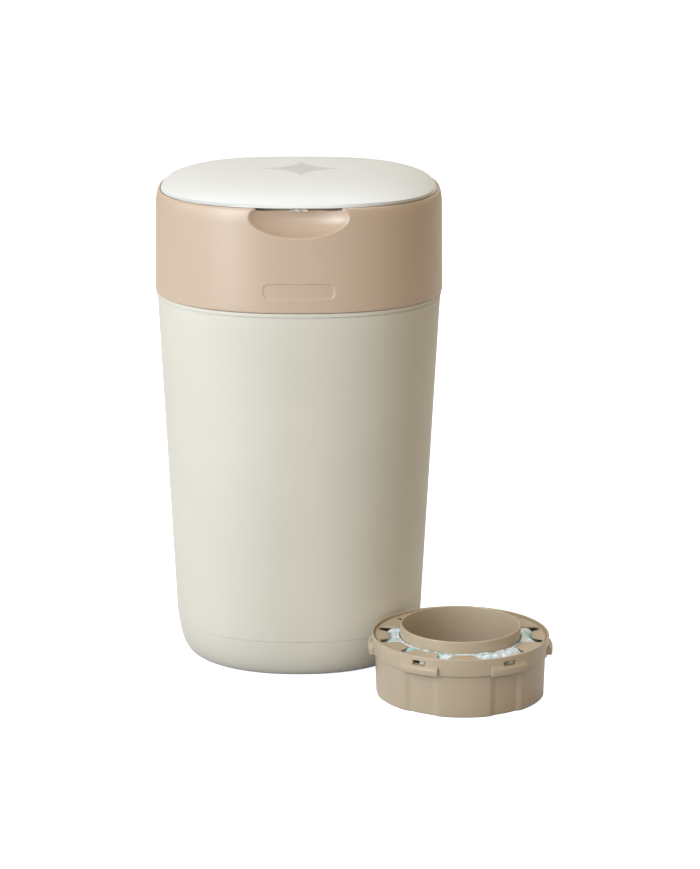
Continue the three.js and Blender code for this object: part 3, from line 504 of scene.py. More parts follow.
def lid_lug_spans():
    half = LID_MIDDLE_WIDTH / 2
    start = half + LID_KNUCKLE_WIDTH + 2 * KNUCKLE_GAP
    return [(-half, half), *mirrored(start, start + LID_LUG_WIDTH)]


# Materials

def linear(red, green, blue):
    """An sRGB colour, 0 to 255, as the linear colour that a shader takes."""
    def channel(value):
        value /= 255
        return value / 12.92 if value <= 0.04045 else ((value + 0.055) / 1.055) ** 2.4
    return (channel(red), channel(green), channel(blue), 1)


class Nodes:
    """Short forms for building a material's node tree."""

    def __init__(self, name):
        self.material = bpy.data.materials.new(name)
        self.material.use_nodes = True
        self.tree = self.material.node_tree
        self.shader = self.tree.nodes["Principled BSDF"]
        self.place = self.add("ShaderNodeTexCoord").outputs["Object"]

    def add(self, kind, **settings):
        node = self.tree.nodes.new(kind)
        for key, value in settings.items():
            setattr(node, key, value)
        return node

    def link(self, source, target):
        self.tree.links.new(source, target)

    def noise(self, scale, detail=3.0, roughness=0.55, stretch=None):
        node = self.add("ShaderNodeTexNoise")
        node.inputs["Scale"].default_value = scale
        node.inputs["Detail"].default_value = detail
        node.inputs["Roughness"].default_value = roughness
        source = self.place
        if stretch:
            mapping = self.add("ShaderNodeMapping")
            mapping.inputs["Scale"].default_value = stretch
            self.link(self.place, mapping.inputs["Vector"])
            source = mapping.outputs["Vector"]
        self.link(source, node.inputs["Vector"])
        return node.outputs["Fac"]

    def remap(self, source, low, high, to_low, to_high):
        node = self.add("ShaderNodeMapRange")
        values = {"From Min": low, "From Max": high, "To Min": to_low, "To Max": to_high}
        for key, value in values.items():
            node.inputs[key].default_value = value
        self.link(source, node.inputs["Value"])
        return node.outputs["Result"]

    def mix(self, share, first, second):
        node = self.add("ShaderNodeMix", data_type="RGBA")
        self.link(share, node.inputs["Factor"])
        for socket, colour in ((node.inputs[6], first), (node.inputs[7], second)):
            if hasattr(colour, "is_linked"):
                self.link(colour, socket)
            else:
                socket.default_value = colour
        return node.outputs[2]

    def math(self, operation, *values):
        node = self.add("ShaderNodeMath", operation=operation)
        for socket, value in zip(node.inputs, values):
            if hasattr(value, "is_linked"):
                self.link(value, socket)
            else:
                socket.default_value = value
        return node.outputs[0]

    def bump(self, height, distance, strength=1.0, after=None):
        node = self.add("ShaderNodeBump")
        node.inputs["Distance"].default_value = distance
        node.inputs["Strength"].default_value = strength
        self.link(height, node.inputs["Height"])
        if after:
            self.link(after, node.inputs["Normal"])
        return node.outputs["Normal"]


def shaded(colour, factor):
    return tuple(c * factor for c in colour[:3]) + (1,)


def plastic(name, colour, roughness, grain=0.5, tone=0.03, sheen=0.5, wave=0.25):
    """Moulded plastic: a fine etched grain, slow waviness, and small drifts of tone and gloss."""
    nodes = Nodes(name)
    drift = nodes.noise(9, detail=2)
    speckle = nodes.noise(1400, detail=2)
    darker, lighter = shaded(colour, 1 - tone), shaded(colour, 1 + tone / 2)
    base = nodes.mix(nodes.remap(drift, 0.3, 0.7, 0, 1), darker, lighter)
    base = nodes.mix(nodes.remap(speckle, 0.62, 0.8, 0, 0.25), base, shaded(colour, 0.93))
    nodes.link(base, nodes.shader.inputs["Base Color"])
    gloss = nodes.remap(nodes.noise(40, detail=4), 0.3, 0.7, roughness - 0.02, roughness + 0.03)
    nodes.link(gloss, nodes.shader.inputs["Roughness"])
    waviness = nodes.bump(nodes.noise(28, detail=1), 0.00025, strength=wave)
    grained = nodes.bump(nodes.noise(2600, detail=3), 0.00003, strength=grain, after=waviness)
    nodes.link(grained, nodes.shader.inputs["Normal"])
    nodes.shader.inputs["IOR"].default_value = 1.5
    nodes.shader.inputs["Specular IOR Level"].default_value = sheen
    return nodes


def star_print(nodes, colour):
    """A plain four-pointed star, printed on the lid in a slightly darker tone."""
    split = nodes.add("ShaderNodeSeparateXYZ")
    nodes.link(nodes.place, split.inputs["Vector"])
    sum_of_powers = None
    for axis in (0, 1):
        offset = nodes.math("SUBTRACT", split.outputs[axis], STAR_CENTRE[axis] * MM)
        share = nodes.math("DIVIDE", nodes.math("ABSOLUTE", offset), STAR_REACH[axis] * MM)
        power = nodes.math("POWER", share, STAR_POWER)
        sum_of_powers = nodes.math("ADD", sum_of_powers, power) if sum_of_powers else power
    inside = nodes.remap(sum_of_powers, 0.985, 1.015, 1, 0)
    socket = nodes.shader.inputs["Base Color"]
    plain = socket.links[0].from_socket
    ink = nodes.mix(nodes.remap(nodes.noise(900), 0.35, 0.65, 0, 1), colour, shaded(colour, 0.94))
    printed = nodes.add("ShaderNodeMix", data_type="RGBA")
    nodes.link(inside, printed.inputs["Factor"])
    nodes.link(plain, printed.inputs[6])
    nodes.link(ink, printed.inputs[7])
    nodes.link(printed.outputs[2], socket)


def rubber(name, colour):
    nodes = Nodes(name)
    base = nodes.mix(nodes.noise(120, detail=4), shaded(colour, 0.85), shaded(colour, 1.1))
    nodes.link(base, nodes.shader.inputs["Base Color"])
    nodes.link(nodes.remap(nodes.noise(600), 0.3, 0.7, 0.65, 0.85), nodes.shader.inputs["Roughness"])
    nodes.link(nodes.bump(nodes.noise(3000), 0.00004, 0.5), nodes.shader.inputs["Normal"])
    return nodes.material


def steel(name, colour, roughness, along):
    """Metal with fine lines along one axis, from turning or grinding."""
    nodes = Nodes(name)
    stretch = tuple(0.02 if i == along else 1 for i in range(3))
    lines = nodes.noise(2400, detail=5, stretch=stretch)
    base = nodes.mix(lines, shaded(colour, 0.85), colour)
    nodes.link(base, nodes.shader.inputs["Base Color"])
    gloss = nodes.remap(lines, 0.3, 0.7, roughness - 0.06, roughness + 0.1)
    nodes.link(gloss, nodes.shader.inputs["Roughness"])
    nodes.link(nodes.bump(lines, 0.00002, 0.5), nodes.shader.inputs["Normal"])
    nodes.shader.inputs["Metallic"].default_value = 1
    return nodes.material


def film(name):
    """Thin glossy film in white and teal, creased along its pleats, with painted shade: a darker teal
    where it lies lower under the plate.
    """
    nodes = Nodes(name)
    white = linear(228, 240, 250)
    teal = linear(146, 212, 212)
    # Painted shade: the darker teal that the film takes where it lies lower, under the plate.
    painted_shade_teal = linear(58, 128, 118)
    streaks = nodes.noise(70, detail=6, roughness=0.65)
    base = nodes.mix(nodes.remap(streaks, 0.5, 0.62, 0, 1), white, teal)
    split = nodes.add("ShaderNodeSeparateXYZ")
    nodes.link(nodes.place, split.inputs["Vector"])
    # Painted shade: the film turns to the darker teal towards the bottom, below the plate's underside.
    deep_z, pale_z = (COVER_PLATE_LOW - 6) * MM, (COVER_PLATE_LOW - 2.2) * MM
    depth = nodes.remap(split.outputs[2], deep_z, pale_z, 1, 0)
    base = nodes.mix(depth, base, painted_shade_teal)
    nodes.link(base, nodes.shader.inputs["Base Color"])
    nodes.link(nodes.remap(streaks, 0.3, 0.7, 0.16, 0.34), nodes.shader.inputs["Roughness"])
    nodes.link(nodes.bump(nodes.noise(260, detail=3), 0.0002, 0.5), nodes.shader.inputs["Normal"])
    nodes.shader.inputs["Coat Weight"].default_value = 0.4
    nodes.shader.inputs["Coat Roughness"].default_value = 0.12
    return nodes.material


cream = plastic("cream_plastic", linear(229, 228, 221), 0.42).material
rose = plastic("rose_plastic", linear(208, 186, 167), 0.34, sheen=1.0).material
lid_nodes = plastic("lid_plastic", linear(228, 231, 233), 0.42)
star_print(lid_nodes, linear(211, 212, 212))
lid_white = lid_nodes.material
inner = plastic("inner_plastic", linear(232, 229, 221), 0.5).material
taupe = plastic("taupe_plastic", linear(202, 188, 166), 0.46, grain=0.6).material
cassette_taupe = plastic(
    "cassette_plastic", linear(190, 175, 154), 0.3, grain=0.4, tone=0.02, sheen=0.9, wave=0.05,
).material
rubber_grey = rubber("seal_rubber", linear(140, 133, 123))
pin_steel = steel("pin_steel", (0.62, 0.63, 0.65, 1), 0.28, along=0)
blade_steel = steel("blade_steel", (0.68, 0.69, 0.71, 1), 0.2, along=1)
film_skin = film("bag_film")


# The tub

def foot_profile(wall, steps):
    turns = np.linspace(0, FOOT_SWEEP, steps + 1)
    r = BASE_RADIUS + (FOOT_RADIUS - BASE_RADIUS) * np.sin(turns) / math.sin(FOOT_SWEEP) - wall
    z = wall + (FOOT_HEIGHT - wall) * (1 - np.cos(turns)) / (1 - math.cos(FOOT_SWEEP))
    return [(a, b, 0) for a, b in zip(r, z)]


def foot_power(z):
    """The tub's plan is nearly round at its base and squarer above its foot."""
    up = np.clip(z / FOOT_HEIGHT, 0, 1) * (1 - math.cos(FOOT_SWEEP))
    out = np.sin(np.arccos(1 - up)) / math.sin(FOOT_SWEEP)
    return FOOT_POWER + (PLAN_POWER - FOOT_POWER) * out


def make_tub():
    top_of_foot = FOOT_RADIUS + CREASE_STEP
    bead = RIM_RADIUS + BEAD_PROUD
    below_bead = RIM_HEIGHT - NECK_HEIGHT
    up = (below_bead - FOOT_HEIGHT) / (RIM_HEIGHT - FOOT_HEIGHT)
    inner_slope = top_of_foot + (RIM_RADIUS - top_of_foot) * up
    profile = rounded([
        *foot_profile(0, 30),
        (top_of_foot, FOOT_HEIGHT + CREASE_STEP, 0.25),
        (RIM_RADIUS - 0.05, RIM_HEIGHT - 1.3, 0.15),
        (RIM_RADIUS - GROOVE_DEPTH, RIM_HEIGHT - GROOVE_HEIGHT, 0.15),
        (RIM_RADIUS - GROOVE_DEPTH, RIM_HEIGHT, 0.1),
        (bead, RIM_HEIGHT + 0.3, 0.35),
        (bead, BEAD_TOP, 1.0),
        (NECK_RADIUS, BEAD_TOP, 0.3),
        (NECK_RADIUS, NECK_TOP, 0.6),
        (NECK_RADIUS - WALL, NECK_TOP, 0.6),
        (NECK_RADIUS - WALL, RIM_HEIGHT, 0.6),
        (inner_slope - WALL, below_bead, 0.6),
        *reversed(foot_profile(WALL, 20)),
    ])
    wall = split_open(profile, 14)
    grid = turned(wall, even_angles(SHELL_COLUMNS), foot_power(wall[:, 1]))
    tub = from_grid("tub_shell", grid, capped=True)
    start = HEAD_MIDDLE_WIDTH / 2 + KNUCKLE_GAP
    eyes = [
        hinge_eye(
            "eye", x0, x1, HEAD_HINGE_Y, HEAD_HINGE_Z, HEAD_KNUCKLE_RADIUS,
            RIM_RADIUS - WALL / 2, RIM_HEIGHT + BEAD_HEIGHT / 2, HEAD_HINGE_Z - TUB_LUG_DROP,
        )
        for x0, x1 in mirrored(start, start + HEAD_LUG_WIDTH)
    ]
    cut(join(tub, *eyes), head_bore())
    dress(tub, "tub", ["tub"], cream)


# The collar

OUTSIDE, REBATE, INSIDE = range(3)


def collar_rows():
    """Rows of (r, z, power, kind) once round the collar's wall."""
    rows = []
    for turn in np.linspace(0, math.pi / 2, 6):
        r = COLLAR_RADIUS - COLLAR_EDGE * (1 - math.sin(turn))
        rows.append((r, COLLAR_BASE + COLLAR_EDGE * (1 - math.cos(turn)), PLAN_POWER, OUTSIDE))
    wall_low, wall_high = COLLAR_BASE + COLLAR_EDGE, COLLAR_TOP - SHOULDER_DROP
    plate_low, plate_high = PLATE_Z - PLATE_HEIGHT / 2 - OVERRUN, PLATE_Z + PLATE_HEIGHT / 2 + OVERRUN
    scoop_low = SCOOP_Z - SCOOP_HALF_HEIGHT - 2 * OVERRUN
    heights = np.concatenate([
        np.linspace(wall_low, plate_low, 4)[1:-1],
        np.arange(plate_low, plate_high, 0.45),
        np.linspace(plate_high, scoop_low, 8)[:-1],
        np.arange(scoop_low, wall_high, 0.6),
    ])
    for z in heights:
        share = (z - wall_low) / (wall_high - wall_low)
        r = COLLAR_RADIUS - COLLAR_TAPER * share
        rows.append((r, z, PLAN_POWER + (TOP_POWER - PLAN_POWER) * share, OUTSIDE))
    for turn in np.linspace(0, math.pi / 2, 30):
        r = COLLAR_TOP_RADIUS - SHOULDER_INSET * (1 - math.cos(turn))
        rows.append((r, COLLAR_TOP - SHOULDER_DROP * (1 - math.sin(turn)), TOP_POWER, OUTSIDE))
    inside = REBATE_RADIUS - LEDGE_REACH
    for z in np.linspace(COLLAR_TOP, LEDGE_TOP, 4):
        rows.append((REBATE_RADIUS, z, TOP_POWER, REBATE))
    for r in np.linspace(REBATE_RADIUS, inside, 6)[1:]:
        rows.append((r, LEDGE_TOP, TOP_POWER, INSIDE))
    for r in np.linspace(inside, COLLAR_TOP_RADIUS - WALL, 4):
        rows.append((r, LEDGE_BOTTOM, TOP_POWER, INSIDE))
    for z in np.arange(LEDGE_BOTTOM - 1, scoop_low, -1):
        rows.append((COLLAR_TOP_RADIUS - WALL, z, TOP_POWER, INSIDE))
    rows.append((COLLAR_RADIUS - WALL, COLLAR_BASE, PLAN_POWER, INSIDE))
    return rows


def collar_angles():
    """Angles round the collar, close together over the scoop and the plate."""
    front = math.radians(26)
    fine = np.linspace(-front, front, 172)
    coarse = np.linspace(front, 2 * math.pi - front, 252)[1:-1]
    return np.concatenate([fine, coarse]) - math.pi / 2


def scoop_surface(x, z):
    """Y of the finger scoop's bowl, which runs on below the collar's surface past its edge."""
    q = (x / SCOOP_HALF_WIDTH) ** 2 + ((z - SCOOP_Z) / SCOOP_HALF_HEIGHT) ** 2
    bowl = SCOOP_DEPTH * np.clip(1 - q, 0, 1) ** SCOOP_POWER
    past = SCOOP_RUN_ON * np.clip(q - 1, 0, None)
    return -COLLAR_TOP_RADIUS + bowl - past


def lip_height(x):
    """Top of the wall behind the scoop, lowered so that fingers reach under the lid."""
    share = np.clip((NOTCH_REACH - np.abs(x)) / NOTCH_EASE, 0, 1)
    return LEDGE_TOP - NOTCH_DEPTH * eased(share)


def soft_max(a, b, width):
    blend = np.clip(width - np.abs(a - b), 0, None) / width
    return np.maximum(a, b) + blend ** 2 * width / 4


def plate_depth(x, z):
    across = np.clip(np.abs(x) - PLATE_LENGTH / 2 + PLATE_CORNER, 0, None)
    up = np.clip(np.abs(z - PLATE_Z) - PLATE_HEIGHT / 2 + PLATE_CORNER, 0, None)
    share = np.clip(0.5 - (np.hypot(across, up) - PLATE_CORNER) / PLATE_EDGE, 0, 1)
    return PLATE_RECESS * eased(share)


def make_collar():
    rows = collar_rows()
    angles = collar_angles()
    grid = np.stack([
        turned(np.array([[r, z]]), angles, power)[0] for r, z, power, _ in rows
    ])
    kinds = np.array([kind for *_, kind in rows])[:, None]
    x, y, z = grid[..., 0], grid[..., 1], grid[..., 2]
    lip = lip_height(x)
    bowl = scoop_surface(x, np.minimum(z, lip))
    carved = np.where(kinds == OUTSIDE, soft_max(y, bowl, SCOOP_EDGE), np.maximum(y, bowl))
    carved = np.where(kinds == INSIDE, np.maximum(y, bowl + SCOOP_WALL), carved)
    wall = (kinds == OUTSIDE) & (z < COLLAR_TOP - SHOULDER_DROP)
    carved = np.where(wall, carved + plate_depth(x, z), carved)
    in_front = y < -COLLAR_TOP_RADIUS / 2
    y = np.where(in_front, carved, y)
    plan = np.hypot(x, y) / squircle(np.arctan2(y, x), TOP_POWER)
    in_lid_room = in_front & (plan < REBATE_RADIUS - 0.01)
    z = np.where(in_lid_room, np.minimum(z, lip), z)
    collar = from_grid("collar_shell", np.stack([x, y, z], axis=2))
    eyes = [
        hinge_eye(
            "eye", x0, x1, LID_HINGE_Y, LID_HINGE_Z, LID_KNUCKLE_RADIUS,
            COLLAR_TOP_RADIUS - WALL / 2, LEDGE_BOTTOM, LID_HINGE_Z - LID_LUG_DROP,
        )
        for x0, x1 in lid_lug_spans()
    ]
    eyes.append(hinge_eye(
        "eye", -HEAD_MIDDLE_WIDTH / 2, HEAD_MIDDLE_WIDTH / 2, HEAD_HINGE_Y, HEAD_HINGE_Z,
        HEAD_KNUCKLE_RADIUS, COLLAR_RADIUS - WALL / 2, COLLAR_BASE + COLLAR_EDGE,
        HEAD_HINGE_Z + HEAD_LUG_RISE,
    ))
    join(collar, *eyes)
    rooms = []
    for x0, x1 in lid_knuckle_spans():
        x0, x1 = x0 - CLEAN_CUT, x1 + CLEAN_CUT
        rooms.append(rod_x("room", LID_KNUCKLE_RADIUS + SLIDE_GAP, x0, x1, LID_HINGE_Y, LID_HINGE_Z))
        back = LID_HINGE_Y - LID_ARM_LENGTH - SLIDE_GAP
        low, high = SOLID_LID_BASE - SEAT_GAP, COLLAR_TOP + OVERRUN
        rooms.append(block("room", x0, x1, back, LID_HINGE_Y, low, high))
    cut(collar, *rooms, lid_bore(), head_bore())
    dress(collar, "head", ["collar"], rose)


# The lid

def dome_profile(wall, turns):
    """Points over the dome from its edge to its crown."""
    shares = np.cos(turns)
    rise = np.clip(1 - shares ** LID_EDGE_POWER, 0, 1) ** (1 / LID_CROWN_POWER)
    r = (LID_RADIUS - wall) * shares
    z = LID_BASE + (LID_DOME - wall) * rise
    return np.stack([r, z], axis=1)


def make_lid():
    turns = np.linspace(0.06, math.pi / 2 - 0.02, 60)
    lip = np.array([
        (LID_RADIUS - 0.8, LID_BASE),
        (LID_RADIUS - 0.3, LID_BASE + 0.06),
        (LID_RADIUS - 0.1, LID_BASE + 0.2),
    ])
    outside = dome_profile(0, turns)
    inside = dome_profile(LID_WALL, np.linspace(0, math.pi / 2 - 0.02, 30))
    shell = np.vstack([inside[::-1], lip, outside])
    grid = turned(shell, even_angles(SHELL_COLUMNS), lid_power(shell))
    lid = from_grid("lid_shell_skin", grid, capped=True)
    gap = KNUCKLE_GAP
    knuckles = []
    for x0, x1 in lid_knuckle_spans():
        x0, x1 = x0 + gap, x1 - gap
        knuckles.append(rod_x(
            "knuckle", LID_KNUCKLE_RADIUS, x0, x1, LID_HINGE_Y, LID_HINGE_Z, chamfer=0.5,
        ))
        back = LID_HINGE_Y - LID_ARM_LENGTH
        top = LID_HINGE_Z + LID_KNUCKLE_RADIUS
        knuckles.append(block("arm", x0, x1, back, LID_HINGE_Y, SOLID_LID_BASE, top, bevel=0.4))
    join(lid, *knuckles)
    rooms = [
        rod_x("room", LID_KNUCKLE_RADIUS + SLIDE_GAP, x0 - gap, x1 + gap, LID_HINGE_Y, LID_HINGE_Z)
        for x0, x1 in lid_lug_spans()
    ]
    cut(lid, *rooms, lid_bore())
    dress(lid, "lid", ["lid_shell"], lid_white)


def lid_power(profile):
    """The lid follows the collar's plan at its edge and is squarer over its shoulder."""
    share = np.clip(profile[:, 0] / LID_RADIUS, 0, 1)
    squarer = np.clip((1 - share) / 0.04, 0, 1)
    return TOP_POWER + (LID_POWER - TOP_POWER) * eased(squarer)


def make_liner():
    """The dished plate that closes the lid from below, with the lip that holds its seal."""
    flange = LID_RADIUS - LID_WALL - SLIDE_GAP - 0.6
    lip = box_mm("lid_seal")[1].x + 0.4
    lip_low = box_mm("lid_liner")[0].z
    dish = lip - 5.8
    under = LID_BASE + 0.2
    profile = rounded([
        (0.5, under + 1.4, 0),
        (dish - 2.4, under + 1.4, 1.6),
        (dish, lip_low, 0.8),
        (lip, lip_low, 0.8),
        (lip, under, 0.6),
        (flange, under, 0.4),
        (flange - 1, under + 1.6, 0.4),
        (0.5, under + 3, 0),
    ])
    grid = turned(split_open(profile, 12), even_angles(RING_COLUMNS), TOP_POWER)
    liner = from_grid("lid_liner_plate", grid, capped=True)
    rooms = []
    for x0, x1 in lid_knuckle_spans():
        back = LID_HINGE_Y - LID_ARM_LENGTH - SEAT_GAP
        rooms.append(block("room", x0, x1, back, LID_HINGE_Y, SOLID_LID_BASE, LID_BASE + LID_DOME))
    half = CATCH_WIDTH / 2 + SEAT_GAP
    catch_back = box_mm("lid_catch")[1].y + SEAT_GAP
    rooms.append(block(
        "room", -half, half, -LID_RADIUS, catch_back, SOLID_LID_BASE, LID_BASE + OVERRUN,
    ))
    cut(liner, *rooms)
    dress(liner, "lid", ["lid_liner"], inner)


# The hinge pins

def make_pin(name, node, radius, body):
    low, high = box_mm(node)
    pin = rod_x(name, radius, low.x, high.x, (low.y + high.y) / 2, (low.z + high.z) / 2, chamfer=0.5)
    dress(pin, body, [node], pin_steel)


# The cassette

def lug_turns():
    return [i * 360 / LUG_COUNT for i in range(LUG_COUNT)]


def flute_depths(angles):
    pitch = 360 / LUG_COUNT
    turn = np.degrees(angles)
    nearest = np.round(turn / pitch)
    off = np.abs(turn - pitch * nearest)
    share = np.clip((FLUTE_SPAN / 2 - off) / FLUTE_FLANK, 0, 1)
    depth = np.where(nearest % 3 == 0, SIDE_FLUTE_DEPTH, FLUTE_DEPTH)
    return depth * eased(share)


def make_cassette_tub():
    plain_from = SKIRT_LOW - SEAT_GAP
    top = COVER_PLATE_LOW - SEAT_GAP
    wall = CASSETTE_WALL
    foot = CASSETTE_RADIUS - CASSETTE_DRAFT
    core_edge = CORE_RADIUS + SEAT_GAP
    profile = split_long(rounded([
        (foot, 0, 1.4),
        (CASSETTE_RADIUS, plain_from, 0),
        (CASSETTE_RADIUS, top, 0.4),
        (CASSETTE_RADIUS - wall, top, 0.4),
        (CASSETTE_RADIUS - wall, plain_from, 0),
        (foot - wall, wall, 1.2),
        (core_edge, wall, 0.3),
        (core_edge, 0, 0.3),
    ]), 1.5)
    angles = even_angles(FLUTED_COLUMNS)
    depths = flute_depths(angles)
    grid = turned(profile, angles)
    radius = np.hypot(grid[..., 0], grid[..., 1])
    on_wall = np.clip((radius - core_edge - 8) / 8, 0, 1)
    fade = eased(np.clip((plain_from - 0.8 - grid[..., 2]) / 2.6, 0, 1))
    pulled = 1 - depths[None, :] * on_wall * fade / np.maximum(radius, 1)
    grid[..., 0] = grid[..., 0] * pulled + CASSETTE_X
    grid[..., 1] = grid[..., 1] * pulled + CASSETTE_Y
    tub = from_grid("cassette_body", grid)
    inner_r, outer_r = CASSETTE_RADIUS - wall / 2, COVER_RADIUS - 0.9
    hook = [
        (inner_r, HOOK_TOP - HOOK_HEIGHT), (outer_r, HOOK_TOP - HOOK_HEIGHT),
        (outer_r - 0.4, HOOK_TOP), (inner_r, HOOK_TOP),
    ]
    join(tub, *[sector("hook", hook, middle + 0.2, middle + 3.6, 5) for middle in lug_turns()])
    inner_r, outer_r = CASSETTE_RADIUS - wall - OVERRUN, COVER_RADIUS
    slot = [
        (inner_r, HOOK_TOP - SLOT_HEIGHT), (outer_r, HOOK_TOP - SLOT_HEIGHT),
        (outer_r, top + 1), (inner_r, top + 1),
    ]
    half = WINDOW_SPAN / 2
    cut(tub, *[sector("slot", slot, middle - half, middle - 0.4, 6) for middle in lug_turns()])
    dress(tub, "cassette", ["cassette_tub"], cassette_taupe)


def make_cassette_core():
    inner_r = CORE_RADIUS - CORE_WALL
    flange_low = CASSETTE_WALL + SEAT_GAP
    flange_top = flange_low + CORE_FLANGE_WALL
    profile = split_long(rounded([
        (inner_r, 0, 0.3),
        (CORE_RADIUS, 0, 0.3),
        (CORE_RADIUS, flange_low, 0),
        (CORE_RADIUS + CORE_FLANGE, flange_low, 0.3),
        (CORE_RADIUS + CORE_FLANGE, flange_top, 0.3),
        (CORE_RADIUS, flange_top, 0.5),
        (CORE_RADIUS, CORE_HIGH.z, 0.8),
        (inner_r, CORE_HIGH.z, 0.8),
    ]), 6)
    grid = turned(profile, even_angles(RING_COLUMNS), centre=CASSETTE_CENTRE)
    core = from_grid("cassette_tube", grid)
    dress(core, "cassette", ["cassette_core"], cassette_taupe)


def petal_radii(angles):
    """Edge of the cover plate's opening: lobes and lands reach in, and film shows in the windows."""
    land, lobe, short_lobe = CORE_RADIUS + 4.2, CORE_RADIUS + 5.6, CORE_RADIUS + 9.8
    front, side = CASSETTE_RADIUS - 4.4, CASSETTE_RADIUS - 2.4
    outline = [
        (-90, short_lobe), (-83, short_lobe), (-79, side), (-72, side), (-69, land), (-54, land),
        (-50, front), (-46, front), (-43, land), (-23, land), (-19, front), (-11.5, front),
        (-8, lobe), (8, lobe), (11.5, front), (50, front), (54, land), (69, land),
        (72, side), (79, side), (83, short_lobe), (90, short_lobe),
    ]
    stations, radii = zip(*outline)
    from_front = (np.degrees(angles) + 90 + 180) % 360 - 180
    behind = np.abs(from_front) > 90
    around = np.where(behind, np.sign(from_front) * 180 - from_front, from_front)
    sharp = np.interp(around, stations, radii)
    softening = np.hanning(9)
    padded = np.concatenate([sharp[-4:], sharp, sharp[:4]])
    return np.convolve(padded, softening / softening.sum(), mode="valid")


def make_cassette_cover():
    angles = even_angles(COVER_COLUMNS)
    edge = petal_radii(angles)
    rim = COVER_RADIUS - 1.6
    groove = rim - 1.7
    inner_r = COVER_RADIUS - COVER_WALL
    fixed = rounded([
        (inner_r, SKIRT_LOW, 0.3),
        (COVER_RADIUS, SKIRT_LOW, 0.5),
        (COVER_RADIUS, COVER_TOP, 0.9),
        (rim, COVER_TOP, 0.5),
        (rim - 0.15, COVER_PLATE_TOP - 1.3, 0),
        (groove, COVER_PLATE_TOP - 1.3, 0),
        (groove - 0.15, COVER_PLATE_TOP, 0.25),
        (groove - 0.6, COVER_PLATE_TOP, 0),
    ])
    rows = [turned(np.array([point]), angles)[0] for point in fixed]
    drop = [(0.45, 0), (0.1, 0.12), (0, 0.5), (0, PLATE_WALL - 0.3), (0.3, PLATE_WALL)]
    for share in (0.35, 0.7):
        r = groove - 0.6 + (edge + 0.45 - groove + 0.6) * share
        rows.append(ring(r, angles, COVER_PLATE_TOP))
    for back, down in drop:
        rows.append(ring(edge + back, angles, COVER_PLATE_TOP - down))
    rows.append(turned(np.array([[inner_r, COVER_PLATE_LOW]]), angles)[0])
    cover = from_grid("cassette_cover_ring", at_cassette(rows))
    outer = COVER_RADIUS + LUG_PROUD
    root = COVER_RADIUS - COVER_WALL / 2
    lugs = []
    for middle in lug_turns():
        corners = [
            (root, SKIRT_LOW), (outer, SKIRT_LOW), (outer, SKIRT_LOW + LUG_TALL - LUG_SLOPE),
            (COVER_RADIUS, SKIRT_LOW + LUG_TALL), (root, SKIRT_LOW + LUG_TALL),
        ]
        lug = sector("lug", corners, middle - LUG_SPAN / 2, middle + LUG_SPAN / 2, 26)
        round_edges(lug, 0.35, math.radians(25))
        lugs.append(lug)
    join(cover, *lugs)
    window_top = COVER_PLATE_LOW - 0.4
    window = [
        (inner_r - OVERRUN, window_top - WINDOW_HEIGHT),
        (outer + OVERRUN, window_top - WINDOW_HEIGHT),
        (outer + OVERRUN, window_top),
        (inner_r - OVERRUN, window_top),
    ]
    half = WINDOW_SPAN / 2
    cut(cover, *[sector("window", window, turn - half, turn + half, 9) for turn in lug_turns()])
    dress(cover, "cassette", ["cassette_cover"], cassette_taupe)


def make_film():
    """Loose folds that swell in the plate's openings beside the tube and tuck in below the plate."""
    angles = even_angles(COVER_COLUMNS)
    inner_r = CORE_RADIUS + FILM_MARGIN
    outer_r = CASSETTE_RADIUS - CASSETTE_DRAFT - CASSETTE_WALL - FLUTE_DEPTH - FILM_MARGIN
    low = box_mm("film_pack")[0].z
    under_plate = COVER_PLATE_LOW - 0.6
    edge = petal_radii(angles)
    rows = []
    for share in np.linspace(0, 1, 44):
        r = inner_r + (outer_r - inner_r) * share
        tuck = np.clip((edge - 1.6 - r) / np.maximum(edge - 1.6 - inner_r, 1), 0, 1)
        swell = FILM_SWELL * np.clip(tuck * 1.9, 0, 1) ** 0.8
        heights = []
        for a in angles:
            x, y = r * math.cos(a), r * math.sin(a)
            fold = abs(noise.noise(Vector((a * 13 + share * 2.1, share * 1.6, 0.4))))
            crumple = noise.noise(Vector((x * 0.17, y * 0.17, 5.2)))
            fine = noise.noise(Vector((x * 0.5, y * 0.5, 9.1)))
            heights.append(-1.2 * fold + 0.9 * crumple + 0.15 * fine)
        ruffle = np.array(heights)
        free = under_plate + swell + ruffle * (0.4 + 0.6 * np.clip(tuck * 3, 0, 1)) - 0.4
        sag = 4.5 * np.clip((share - 0.45) / 0.55, 0, 1) ** 1.5
        ceiling = np.where(r < edge - 1.2, under_plate + 2 + FILM_SWELL, under_plate)
        rows.append(ring(r, angles, np.minimum(free - sag, ceiling)))
    middle = (low + under_plate) / 2
    for r, z in [(outer_r, middle), (outer_r, low), (inner_r, low), (inner_r, middle)]:
        rows.append(ring(r, angles, z))
    pack = from_grid("film_pleats", at_cassette(rows))
    dress(pack, "cassette", ["film_pack"], film_skin)
    smooth(pack, 80)


# Finishes of the CAD nodes that stay as they are

def paint_nodes():
    finishes = {
        "deck": inner, "well": inner, "head_base": inner, "rim_seal": rubber_grey, "film_grip": taupe,
        "rotor": taupe, "click_finger": taupe, "cutter_slide": rose, "cutter_blade": blade_steel,
        "lid_seal": rubber_grey, "lid_catch": inner,
        **{f"deck_screw_{i}": pin_steel for i in range(1, 5)},
    }
    for node, material in finishes.items():
        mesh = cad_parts[node].data
        mesh.materials.clear()
        mesh.materials.append(material)


# The studio

